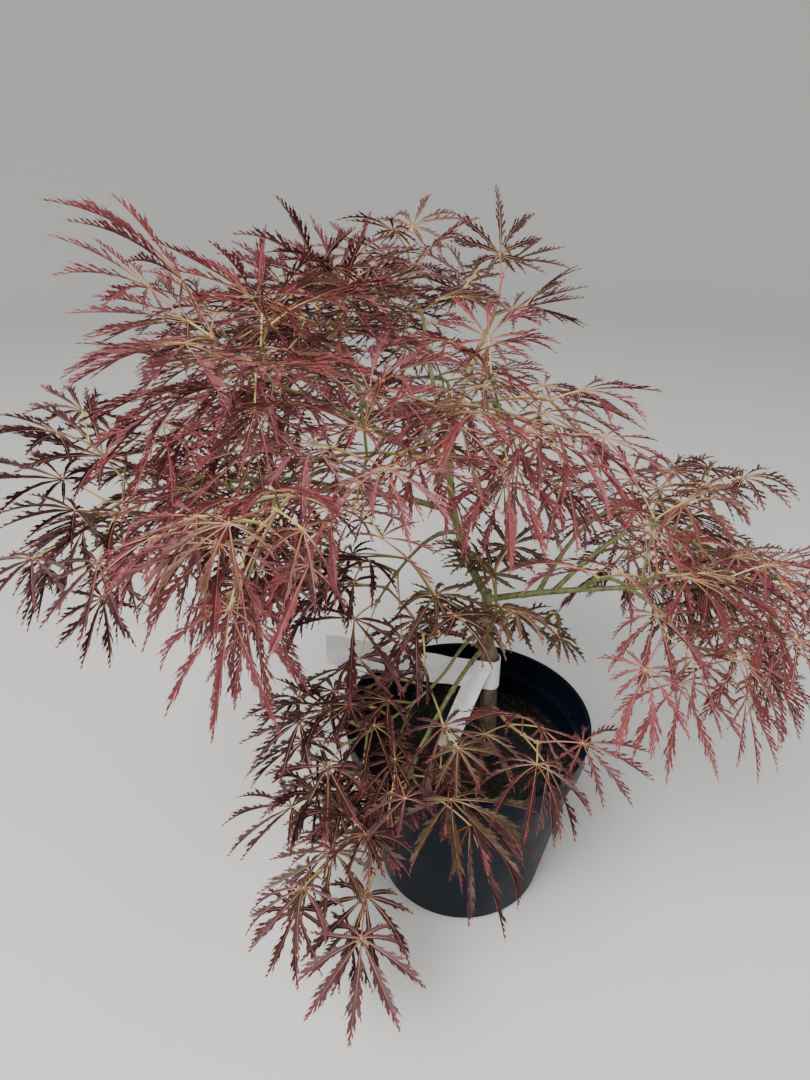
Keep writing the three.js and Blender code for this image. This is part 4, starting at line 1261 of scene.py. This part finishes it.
def add_stacking_lugs(surface, shoulder, collar):
    """Small upright lugs inside the collar that keep stacked pots from jamming."""
    radius = collar - COLLAR_FLARE - WALL
    low, high = shoulder + RIDGE_DEPTH / 2, shoulder + RIDGE_DEPTH + LUG_HEIGHT
    levels = list(zip((low, high - LUG_SHOULDER, high), LUG_DEPTHS))
    upper = [tuple(corner + 4 for corner in face) for face in LUG_SIDES]
    for number in range(LUG_COUNT):
        angle = math.radians(360 / LUG_COUNT * (number + 0.5))
        out = np.array((math.cos(angle), math.sin(angle), 0.0))
        side = np.array((-math.sin(angle), math.cos(angle), 0.0))
        corners = []
        for height, depth in levels:
            for across in (-LUG_HALF_WIDTH, LUG_HALF_WIDTH):
                for inward in (depth, -LUG_ROOT):
                    corners.append(out * (radius - inward) + side * across + UP * height)
        surface.add(corners, [*LUG_SIDES, *upper, *LUG_ENDS])


def pot_material(look):
    """Black moulded plastic: a soft sheen, fine mould texture, a film of dust and a few dried water marks."""
    plastic, dust = look.plastic_colour, look.dust_colour
    material = new_material("pot_plastic", plastic, roughness=0.4, specular=0.05)
    marks = noise_node(material, scale=26, detail=6, roughness=0.6, stretch=(1, 1, 0.35))
    grain = noise_node(material, scale=900, detail=3, roughness=0.5)
    film, crust = blended(plastic, dust, 0.004), blended(plastic, dust, 0.02)
    colour_by(material, marks, [(0.45, tuple(plastic)), (0.65, film), (0.85, crust)])
    roughen_by(material, marks, 0.26, 0.5)
    add_bump(material, grain, strength=0.12, distance=0.0002)
    return material


# Compost

COMPOST_FLAT = 0.6
COMPOST_SINK = 0.0012
COMPOST_RINGS = 64
COMPOST_SIDES = 132
COMPOST_WALL_GAP = 0.0003
COMPOST_FOOT_SHARE = 0.9
COMPOST_FOOT_HEIGHT = 0.09
COMPOST_SHADES = (0.4, 1.8)

# Lumps and crumbs: how fast the noise changes, the level it is read at, and its height
COMPOST_RELIEF = ((60, 3.1, 0.0012), (230, 7.7, 0.0009))

# Bits of bark: ranges of length, width and thickness, and how light each tone is beside the compost
BIT_SEED = 41
BIT_EDGE = 0.004
BIT_SIZES = ((0.0012, 0.0055), (0.0008, 0.0026), (0.0004, 0.0014))
BIT_TILT = 0.5
BIT_WEAR = (0.55, 1.0)
BIT_SEAT = 0.25
BIT_TONES = {"dark": 0.5, "brown": 1.4, "fibre": 3.2, "pale": 8.0}
BOX_CORNERS = [(a, b, c) for a in (-1, 1) for b in (-1, 1) for c in (-1, 1)]
BOX_FACES = (
    (0, 1, 3), (0, 3, 2), (4, 6, 7), (4, 7, 5), (0, 4, 5), (0, 5, 1),
    (2, 3, 7), (2, 7, 6), (0, 2, 6), (0, 6, 4), (1, 5, 7), (1, 7, 3),
)

# Moss: spread sideways and front to back, then the size of one tuft
MOSS_SEED = 43
MOSS_SPREAD = (0.006, 0.0045)
MOSS_ROOT = 0.0002
MOSS_LEAN = 0.6
MOSS_LENGTH = (0.0012, 0.0028)
MOSS_RADII = (0.0003, 0.0004, 0.00005)
MOSS_SIDES = 5


def compost_height(x, y):
    """The surface of the compost: domed a little towards the trunk, with crumbs and hollows."""
    edge = min(1.0, math.hypot(x, y) / pot_inner_radius(COMPOST_TOP))
    height = COMPOST_TOP - COMPOST_DIP * max(0.0, (edge - COMPOST_FLAT) / (1 - COMPOST_FLAT)) - COMPOST_SINK
    for scale, level, rise in COMPOST_RELIEF:
        height += noise.noise(Vector((x * scale, y * scale, level))) * rise
    return height


def add_compost(surface):
    """The compost's surface, just off the pot's wall, and a side that runs in and down from its edge."""
    limit = pot_inner_radius(COMPOST_TOP) - COMPOST_WALL_GAP
    points = []
    for ring in range(COMPOST_RINGS):
        radius = limit * (ring + 0.5) / (COMPOST_RINGS - 0.5)
        for angle in even_angles(COMPOST_SIDES):
            x, y = radius * math.cos(angle), radius * math.sin(angle)
            points.append((x, y, compost_height(x, y)))
    rows = np.array(points)
    inward = (COMPOST_FOOT_SHARE, COMPOST_FOOT_SHARE, 0)
    foot = rows[-COMPOST_SIDES:] * inward + (0, 0, COMPOST_FOOT_HEIGHT)
    surface.add(np.concatenate([rows, foot]), strip_faces(COMPOST_RINGS + 1, COMPOST_SIDES, closed=True))
    middle = np.array([(0, 0, compost_height(0, 0))])
    ring = np.arange(COMPOST_SIDES)
    fan = np.stack([ring, (ring + 1) % COMPOST_SIDES, np.full(COMPOST_SIDES, COMPOST_SIDES)], 1)
    surface.add(np.concatenate([rows[:COMPOST_SIDES], middle]), fan)


def add_bark_bits(surface, look):
    """Crumbs of bark and fibre pressed into the compost, in four plain tones."""
    rng = np.random.default_rng(BIT_SEED)
    limit = pot_inner_radius(COMPOST_TOP) - BIT_EDGE
    for _number in range(look.bit_count):
        radius, angle = limit * math.sqrt(rng.uniform()), rng.uniform(0, 2 * math.pi)
        x, y = radius * math.cos(angle), radius * math.sin(angle)
        size = np.array([rng.uniform(*span) for span in BIT_SIZES])
        spin = Matrix.Rotation(rng.uniform(0, 2 * math.pi), 3, "Z")
        tilt = Matrix.Rotation(rng.uniform(-BIT_TILT, BIT_TILT), 3, "X")
        corners = np.array(BOX_CORNERS, float)
        corners *= rng.uniform(*BIT_WEAR, corners.shape) * size / 2
        centre = np.array((x, y, compost_height(x, y) + size[2] * BIT_SEAT))
        tone = int(rng.integers(0, len(BIT_TONES)))
        surface.add(corners @ np.array(spin @ tilt).T + centre, BOX_FACES, tone)


def add_moss(surface, look):
    """A small cushion of moss at the front right of the trunk."""
    rng = np.random.default_rng(MOSS_SEED)
    for _number in range(look.moss_tufts):
        x, y = (place + rng.normal(0, spread) for place, spread in zip(look.moss_place, MOSS_SPREAD))
        root = np.array((x, y, compost_height(x, y) - MOSS_ROOT))
        lean = np.array((rng.uniform(-MOSS_LEAN, MOSS_LEAN), rng.uniform(-MOSS_LEAN, MOSS_LEAN), 1.0))
        tip = root + unit(lean) * rng.uniform(*MOSS_LENGTH)
        places = [root, (root + tip) / 2, tip]
        add_tube(surface, places, MOSS_RADII, MOSS_SIDES, slot=len(BIT_TONES), capped=False)


# Label


def label_line():
    """The strip seen from above: in from its free end, then once round the trunk."""
    axis = along_curve(limb_paths()["trunk"], LABEL_SHARE)[:2]
    turns = np.radians(np.arange(-90, LABEL_LOOP_END + 1, LABEL_LOOP_STEP))
    loop = axis + LABEL_LOOP * np.stack([np.cos(turns), np.sin(turns)], axis=1)
    ends = np.concatenate([metres(LABEL_STRIP), loop[:1]])
    return np.concatenate([smoothed(ends, STRIP_STEPS)[:-1], loop])


def smoothed(places, steps):
    """A smooth curve through places, by Catmull and Rom's rule."""
    places = np.asarray(places, float)
    padded = np.concatenate([2 * places[:1] - places[1:2], places, 2 * places[-1:] - places[-2:-1]])
    found = []
    for before, start, end, after in zip(padded, padded[1:], padded[2:], padded[3:]):
        slope = end - before
        bend = 2 * before - 5 * start + 4 * end - after
        twist = 3 * start - before - 3 * end + after
        for share in np.arange(steps) / steps:
            found.append(0.5 * (2 * start + slope * share + bend * share**2 + twist * share**3))
    return np.array(found + [places[-1]])


def label_height(x):
    axis_x = along_curve(limb_paths()["trunk"], LABEL_SHARE)[0]
    return LABEL_LEVEL + LABEL_SLOPE * (axis_x - x)


def label_rails():
    """Straight spans along the strip at three heights and down the hanging end. Leaves keep clear of them."""
    line = label_line()
    rails = []
    for rise in LABEL_CHECKS:
        places = [np.array((x, y, label_height(x) + rise * LABEL_WIDTH)) for x, y in line]
        rails.extend(zip(places, places[1:]))
    tail = tail_line(0.0)
    rails.extend(zip(tail, tail[1:]))
    return rails


def tail_line(across):
    """One line down the hanging end, at a distance across from its middle."""
    axis = along_curve(limb_paths()["trunk"], LABEL_SHARE)[:2]
    angle = math.radians(LABEL_TAIL_HEADING)
    out = np.array((math.cos(angle), math.sin(angle)))
    side = np.array((-math.sin(angle), math.cos(angle)))
    places = []
    for distance, height in smoothed(metres(LABEL_TAIL), TAIL_STEPS):
        flat = axis + out * (LABEL_LOOP + distance) + side * across
        places.append(np.array((*flat, height)))
    return places


def add_band(surface, rows):
    """A thin band through rows of points, thickened to the label's own thickness."""
    rows = np.array(rows)
    count, columns = rows.shape[:2]
    normal = unit(np.cross(np.gradient(rows, axis=0), np.gradient(rows, axis=1)))
    front = (rows + normal * LABEL_THICKNESS / 2).reshape(-1, 3)
    back = (rows - normal * LABEL_THICKNESS / 2).reshape(-1, 3)
    faces = strip_faces(count, columns)
    total = count * columns
    edge = band_edge(count, columns)
    after = np.roll(edge, -1)
    lower = np.stack([edge, after, after + total], 1)
    upper = np.stack([edge, after + total, edge + total], 1)
    surface.add(np.concatenate([front, back]), np.concatenate([faces, faces[:, ::-1] + total, lower, upper]))


def band_edge(count, columns):
    """The points once round the edge of a grid."""
    edge = [row * columns for row in range(count)]
    edge += [(count - 1) * columns + column for column in range(1, columns)]
    edge += [row * columns + columns - 1 for row in range(count - 2, -1, -1)]
    edge += list(range(columns - 2, 0, -1))
    return np.array(edge)


def add_label(surface):
    """The strip, with a ripple in its free end, and the end that hangs in front."""
    columns = np.linspace(0, 1, LABEL_COLUMNS)
    rows = []
    for x, y in label_line():
        ripple = LABEL_RIPPLE * math.sin(x * LABEL_RIPPLES) * (x < LABEL_RIPPLE_END)
        heights = label_height(x) + columns * LABEL_WIDTH
        rows.append([(x, y + ripple * (share - LABEL_RIPPLE_AXIS), z) for share, z in zip(columns, heights)])
    add_band(surface, rows)
    sides = [tail_line((share - 0.5) * LABEL_TAIL_WIDTH) for share in columns]
    add_band(surface, np.swapaxes(np.array(sides), 0, 1))


def label_material(look):
    """White plastic film, weathered a little towards grey in soft blotches."""
    material = new_material("label_plastic", look.label_colour, roughness=0.4)
    blotches = noise_node(material, scale=55, detail=5, roughness=0.6)
    colour_by(material, blotches, [(0.35, shaded(look.label_colour, 0.8)), (0.55, tuple(look.label_colour))])
    roughen_by(material, blotches, 0.3, 0.5)
    add_bump(material, blotches, strength=0.2, distance=0.0008)
    return material


# Stage

BOWL_AXIS = 0.001
BOWL_SIDES = 96
BOWL_ARC_PLACES = 17

# Lights: place, target, width and colour. The power of each is a setting
LIGHTS = {
    "key": ((-0.8, -1.45, 2.1), (0, 0, 0.3), 1.6, (1.0, 0.98, 0.95)),
    "fill": ((1.6, -0.6, 1.2), (0, 0, 0.3), 1.4, (0.92, 0.96, 1.0)),
    "front": ((-0.35, -1.5, 0.95), (0, 0, 0.22), 1.0, (1.0, 0.99, 0.97)),
}

# The camera, from the pot's rim and base and the upright lines of the view
CAMERA_PLACE = (0.0, -0.4959, 0.5672)
CAMERA_HEADING = (-0.0878, 0.8794, -0.4679)
CAMERA_ROLL = 0.5
CAMERA_LENS = 27.03
SENSOR = 36.0
NEAREST_SEEN = 0.01


def add_bowl(look):
    """A plain pale floor that curves up far away, so that no edge of it shows."""
    surface = Surface()
    radius, curve, height = look.floor_radius, look.floor_curve, look.wall_height
    angles = np.linspace(0, math.pi / 2, BOWL_ARC_PLACES)
    arc = [(radius + curve * math.sin(a), curve * (1 - math.cos(a))) for a in angles]
    outline = np.array([(BOWL_AXIS, 0.0), (radius / 2, 0.0), *arc, (radius + curve, height)])
    add_turned(surface, outline, BOWL_SIDES)
    material = new_material("pale_floor", look.floor_colour, roughness=0.85, specular=0.2)
    bowl = surface.build("floor", [material], smooth_angle=60)


def add_area_light(name, place, target, size, power, colour):
    light = bpy.data.lights.new(name, "AREA")
    light.shape = "DISK"
    light.size = size
    light.energy = power
    light.color = colour
    lamp = bpy.data.objects.new(name, light)
    lamp.location = place
    lamp.rotation_euler = (Vector(target) - Vector(place)).to_track_quat("-Z", "Y").to_euler()
    bpy.context.scene.collection.objects.link(lamp)


def add_camera():
    forward = Vector(CAMERA_HEADING).normalized()
    right = forward.cross(Vector((0, 0, 1))).normalized()
    upward = right.cross(forward)
    roll = math.radians(CAMERA_ROLL)
    rolled_right = right * math.cos(roll) + upward * math.sin(roll)
    rolled_up = upward * math.cos(roll) - right * math.sin(roll)
    lens = bpy.data.cameras.new("camera")
    lens.sensor_width = SENSOR
    lens.lens = CAMERA_LENS
    lens.clip_start = NEAREST_SEEN
    camera = bpy.data.objects.new("camera", lens)
    matrix = Matrix((rolled_right, rolled_up, -forward)).transposed().to_4x4()
    matrix.translation = Vector(CAMERA_PLACE)
    camera.matrix_world = matrix
    bpy.context.scene.collection.objects.link(camera)
    bpy.context.scene.camera = camera


def set_world(colour, strength):
    world = bpy.data.worlds.new("soft_light")
    world.use_nodes = True
    background = world.node_tree.nodes["Background"]
    background.inputs["Color"].default_value = (*colour, 1)
    background.inputs["Strength"].default_value = strength
    bpy.context.scene.world = world


# Settings


def length_setting(name, description, default):
    kind = {"subtype": "DISTANCE", "unit": "LENGTH"}
    return FloatProperty(name=name, description=description, default=default, min=0, **kind)


def power_setting(name, description, default):
    return FloatProperty(name=name, description=description, default=default, min=0, unit="POWER")


def count_setting(name, description, default):
    return IntProperty(name=name, description=description, default=default, min=0)


def angle_setting(name, description, degrees):
    kind = {"min": 0, "max": math.pi / 2, "subtype": "ANGLE", "unit": "ROTATION"}
    return FloatProperty(name=name, description=description, default=math.radians(degrees), **kind)


def colour_setting(name, description, default):
    kind = {"size": 3, "min": 0, "max": 1, "subtype": "COLOR"}
    return FloatVectorProperty(name=name, description=description, default=default, **kind)


class MapleLeafSettings(bpy.types.PropertyGroup):
    side_length: length_setting("Side lobe", "Length of the longest side lobes", 0.0148)
    tooth_step: length_setting("Side lobe step", "Distance between neighbouring side lobes", 0.0042)
    web_width: length_setting("Web", "Half width of the blade beside its rib", 0.0012)
    rib_width: length_setting("Rib", "Half width of a lobe's pale rib at its root", 0.00038)
    fold_angle: angle_setting("Fold", "How far the side lobes rise", 34)
    spread_angle: angle_setting("Spread", "How far the side lobes stand off their rib", 27)
    red: colour_setting("Red", "Leaves in full light", (0.133, 0.029, 0.032))
    wine: colour_setting("Wine", "Leaves in the middle of the crown", (0.080, 0.0205, 0.0225))
    brown: colour_setting("Brown", "Leaves at the far left and over the pot", (0.041, 0.0125, 0.0115))
    pink: colour_setting("Pink", "The nearest sunlit leaves", (0.150, 0.033, 0.037))
    olive: colour_setting("Olive", "Leaves in the shade of the crown", (0.066, 0.049, 0.021))
    young: colour_setting("Young", "Leaves of the top sprout", (0.058, 0.021, 0.017))
    # Mauve for the lighter leaf shade: a painted sky sheen
    painted_sky_sheen: colour_setting("Mauve", "Leaves that catch the sky", (0.105, 0.052, 0.062))
    tip: colour_setting("Tip", "Outer ends of the lobes", (0.174, 0.0313, 0.0391))
    rib: colour_setting("Rib colour", "Ribs beyond the hub", (0.30, 0.135, 0.105))
    rib_root: colour_setting("Hub colour", "Hubs and the roots of the ribs", (0.348, 0.191, 0.0957))


class MapleWoodSettings(bpy.types.PropertyGroup):
    stock_relief: length_setting("Stock relief", "Depth of the furrows below the graft", 0.0006)
    green_relief: length_setting("Green relief", "Depth of the relief on green wood", 0.00012)
    node_depth: length_setting("Node ring", "Height of the rings where leaves stood", 0.00035)
    stock_colour: colour_setting("Stock", "Bark below the graft", (0.1, 0.0713, 0.0478))
    green_colour: colour_setting("Green bark", "Bark above the graft", (0.135, 0.152, 0.0478))
    bough_dark: colour_setting("Bough shade", "Dark streaks of the boughs", (0.0478, 0.0522, 0.0191))
    bough_light: colour_setting("Bough light", "Light streaks of the boughs", (0.217, 0.235, 0.074))
    twig: colour_setting("Twig", "Stems and side twigs", (0.139, 0.131, 0.0435))
    petiole_tan: colour_setting("Tan stalk", "Leaf stalks", (0.365, 0.226, 0.104))
    petiole_yellow: colour_setting("Yellow stalk", "Leaf stalks in good light", (0.4, 0.313, 0.087))
    petiole_red: colour_setting("Red stalk", "Leaf stalks near the tips", (0.261, 0.087, 0.0522))


class MaplePotSettings(bpy.types.PropertyGroup):
    plastic_colour: colour_setting("Plastic", "Black pot", (0.004, 0.0065, 0.013))
    dust_colour: colour_setting("Dust", "Dried dust on the pot", (0.3, 0.28, 0.25))
    # Darker than the compost itself: its own dark colour darkened further as painted shade for the shadow
    # inside the pot
    compost_colour_with_painted_shade: colour_setting("Compost", "Damp compost", (0.0048, 0.0032, 0.0023))
    moss_colour: colour_setting("Moss", "Moss on the compost", (0.05, 0.09, 0.015))
    label_colour: colour_setting("Label", "Blank label", (0.93, 0.93, 0.94))
    bit_count: count_setting("Bark bits", "Crumbs of bark on the compost", 1500)
    moss_tufts: count_setting("Moss tufts", "Tufts in the moss cushion", 260)
    moss_place: FloatVectorProperty(
        name="Moss place",
        description="Centre of the moss cushion",
        default=(0.045, -0.055),
        size=2,
        subtype="XYZ",
    )


class MapleStageSettings(bpy.types.PropertyGroup):
    floor_radius: length_setting("Floor radius", "Flat part of the floor", 2.2)
    floor_curve: length_setting("Floor curve", "Radius of the curve at the floor's edge", 1.6)
    wall_height: length_setting("Wall height", "Height of the pale wall", 4.5)
    floor_colour: colour_setting("Floor", "Pale floor and wall", (0.533, 0.525, 0.503))
    sky_colour: colour_setting("Sky", "Soft light from all round", (0.86, 0.92, 1.0))
    sky_strength: FloatProperty(
        name="Sky strength",
        description="Strength of the soft light",
        default=0.62,
        min=0,
    )
    key_power: power_setting("Key power", "Power of the main light", 126)
    front_power: power_setting("Front power", "Power of the front light", 6)
    fill_power: power_setting("Fill power", "Power of the fill light", 18)


# Operators


class MAPLE_OT_stage(bpy.types.Operator):
    """Pale floor, soft studio light and the camera"""

    bl_idname = "maple.stage"
    bl_label = "Stage"

    def execute(self, context):
        look = settings("maple_stage")
        add_bowl(look)
        set_world(look.sky_colour, look.sky_strength)
        for name, (place, target, width, colour) in LIGHTS.items():
            add_area_light(f"{name}_light", place, target, width, getattr(look, f"{name}_power"), colour)
        add_camera()
        return {"FINISHED"}


class MAPLE_OT_trunk(bpy.types.Operator):
    """Trunk with bark relief, graft and the cut stub"""

    bl_idname = "maple.trunk"
    bl_label = "Trunk"

    def execute(self, context):
        wood = settings("maple_wood")
        surface = Surface()
        add_trunk(surface, wood)
        cut = wood_material("cut_wood", *CUT_WOOD, NO_STREAKS)
        dead = wood_material("dead_twig", *DEAD_WOOD, DEAD_STREAKS)
        trunk = surface.build("trunk_bark", [trunk_material(wood), cut, dead], smooth_angle=50)
        placed(trunk, "bark", "trunk")
        return {"FINISHED"}


class MAPLE_OT_boughs(bpy.types.Operator):
    """One bough with relief, leaf rings and buds for each limb of the tree"""

    bl_idname = "maple.boughs"
    bl_label = "Boughs"

    def execute(self, context):
        wood = settings("maple_wood")
        material = wood_material("green_bark", wood.bough_dark, wood.bough_light, BOUGH_STREAKS)
        for name in LIMBS:
            if name != "trunk":
                surface = Surface()
                add_bough(surface, name, wood)
                bough = surface.build(f"{name}_bark", [material], smooth_angle=60)
                placed(bough, "green_wood", name)
        return {"FINISHED"}


class MAPLE_OT_twigs(bpy.types.Operator):
    """Stems, side twigs, buds and leaf stalks of each mass of foliage"""

    bl_idname = "maple.twigs"
    bl_label = "Twigs"

    def execute(self, context):
        wood = settings("maple_wood")
        materials = [new_material(name, getattr(wood, name), roughness=0.5) for name in TWIG_MATERIALS]
        for mass in MASSES:
            surface = Surface()
            leaves, twigs = grown_mass(mass)
            add_stem(surface, mass)
            for twig in twigs:
                add_side_twig(surface, twig)
            for number, leaf in enumerate(leaves):
                add_petiole(surface, leaf, number)
            piece = surface.build(f"twigs_{mass}", materials, smooth_angle=60)
            placed(piece, "green_wood", f"foliage_{mass}")
        return {"FINISHED"}


class MAPLE_OT_leaves(bpy.types.Operator):
    """Feathered leaves of each mass of foliage"""

    bl_idname = "maple.leaves"
    bl_label = "Leaves"

    def execute(self, context):
        look = settings("maple_leaf")
        rib = new_material("leaf_rib", look.rib, roughness=0.5)
        rib_root = new_material("leaf_hub", look.rib_root, roughness=0.5)
        tints = sorted({form.tint for form in MASSES.values()})
        shades = {tint: leaf_materials(look, tint) for tint in tints}
        for mass, form in MASSES.items():
            surface = Surface()
            rng = np.random.default_rng(form.seed)
            leaves, _twigs = grown_mass(mass)
            for leaf in leaves:
                add_leaf(surface, leaf, look, rng)
            piece = surface.build(f"leaves_{mass}", [*shades[form.tint], rib, rib_root])
            placed(piece, f"leaf_{form.tint}", f"foliage_{mass}")
        return {"FINISHED"}


def leaf_materials(look, tint):
    """The shades of one leaf tint, with a darker copy as painted shade and a lighter one blended with mauve
    as painted light and painted sky sheen, and the redder ends of its lobes.
    """
    colour = getattr(look, tint)
    shades = {
        # A darker copy of the tint: painted shade
        "deep": shaded(colour, PAINTED_SHADE_FACTOR),
        "middle": tuple(colour),
        # A lighter copy of the tint blended with mauve: painted light and painted sky sheen
        "light": blended(shaded(colour, PAINTED_LIGHT_FACTOR), look.painted_sky_sheen, PAINTED_SKY_SHEEN_BLEND),
        "olive": blended(colour, look.olive, OLIVE_BLEND),
        "tip": blended(colour, look.tip, TIP_BLEND),
    }
    return [
        new_material(f"leaf_{tint}_{name}", shades[name], roughness=0.5, specular=0.2)
        for name in (*SHADE_NAMES, "tip")
    ]


class MAPLE_OT_pot(bpy.types.Operator):
    """Round black nursery pot with a rolled lip"""

    bl_idname = "maple.pot"
    bl_label = "Pot"

    def execute(self, context):
        surface = Surface()
        add_pot(surface)
        material = pot_material(settings("maple_pot"))
        placed(surface.build("nursery_pot", [material], smooth_angle=40), "pot", "pot")
        return {"FINISHED"}


class MAPLE_OT_compost(bpy.types.Operator):
    """Compost with crumbs of bark and a cushion of moss"""

    bl_idname = "maple.compost"
    bl_label = "Compost"

    def execute(self, context):
        look = settings("maple_pot")
        surface = Surface()
        add_compost(surface)
        # The compost's grain and the tones of its bark bits all start from its colour, darkened as painted
        # shade
        shades = (shaded(look.compost_colour_with_painted_shade, factor) for factor in COMPOST_SHADES)
        ground = wood_material("compost", *shades, NO_STREAKS)
        placed(surface.build("compost_surface", [ground], smooth_angle=70), "compost", "compost")
        bits = Surface()
        add_bark_bits(bits, look)
        add_moss(bits, look)
        materials = []
        for name, factor in BIT_TONES.items():
            materials.append(new_material(f"bit_{name}", shaded(look.compost_colour_with_painted_shade, factor), roughness=0.85))
        materials.append(new_material("moss", look.moss_colour, roughness=0.8))
        placed(bits.build("bark_bits", materials), "compost")
        return {"FINISHED"}


class MAPLE_OT_label(bpy.types.Operator):
    """Blank white label looped round the trunk"""

    bl_idname = "maple.label"
    bl_label = "Label"

    def execute(self, context):
        surface = Surface()
        add_label(surface)
        material = label_material(settings("maple_pot"))
        placed(surface.build("white_label", [material], smooth_angle=40), "label", "blank_label")
        return {"FINISHED"}


class MAPLE_PT_sidebar(bpy.types.Panel):
    """Buttons for the maple's pieces"""

    bl_idname = "MAPLE_PT_sidebar"
    bl_label = "Potted maple"
    bl_space_type = "VIEW_3D"
    bl_region_type = "UI"
    bl_category = "Maple"

    def draw(self, context):
        for operator in OPERATORS:
            self.layout.operator(operator.bl_idname)


OPERATORS = (
    MAPLE_OT_stage,
    MAPLE_OT_pot,
    MAPLE_OT_compost,
    MAPLE_OT_trunk,
    MAPLE_OT_boughs,
    MAPLE_OT_label,
    MAPLE_OT_twigs,
    MAPLE_OT_leaves,
)
GROUPS = {
    "maple_leaf": MapleLeafSettings,
    "maple_wood": MapleWoodSettings,
    "maple_pot": MaplePotSettings,
    "maple_stage": MapleStageSettings,
}


def register():
    for name, group in GROUPS.items():
        bpy.utils.register_class(group)
        setattr(bpy.types.Scene, name, PointerProperty(type=group))
    for operator in OPERATORS:
        bpy.utils.register_class(operator)
    bpy.utils.register_class(MAPLE_PT_sidebar)


def unregister():
    bpy.utils.unregister_class(MAPLE_PT_sidebar)
    for operator in reversed(OPERATORS):
        bpy.utils.unregister_class(operator)
    for name, group in GROUPS.items():
        delattr(bpy.types.Scene, name)
        bpy.utils.unregister_class(group)


def main():
    register()
    bpy.ops.maple.stage()
    bpy.ops.maple.pot()
    bpy.ops.maple.compost()
    bpy.ops.maple.trunk()
    bpy.ops.maple.boughs()
    bpy.ops.maple.label()
    bpy.ops.maple.twigs()
    bpy.ops.maple.leaves()


if __name__ == "__main__":
    main()
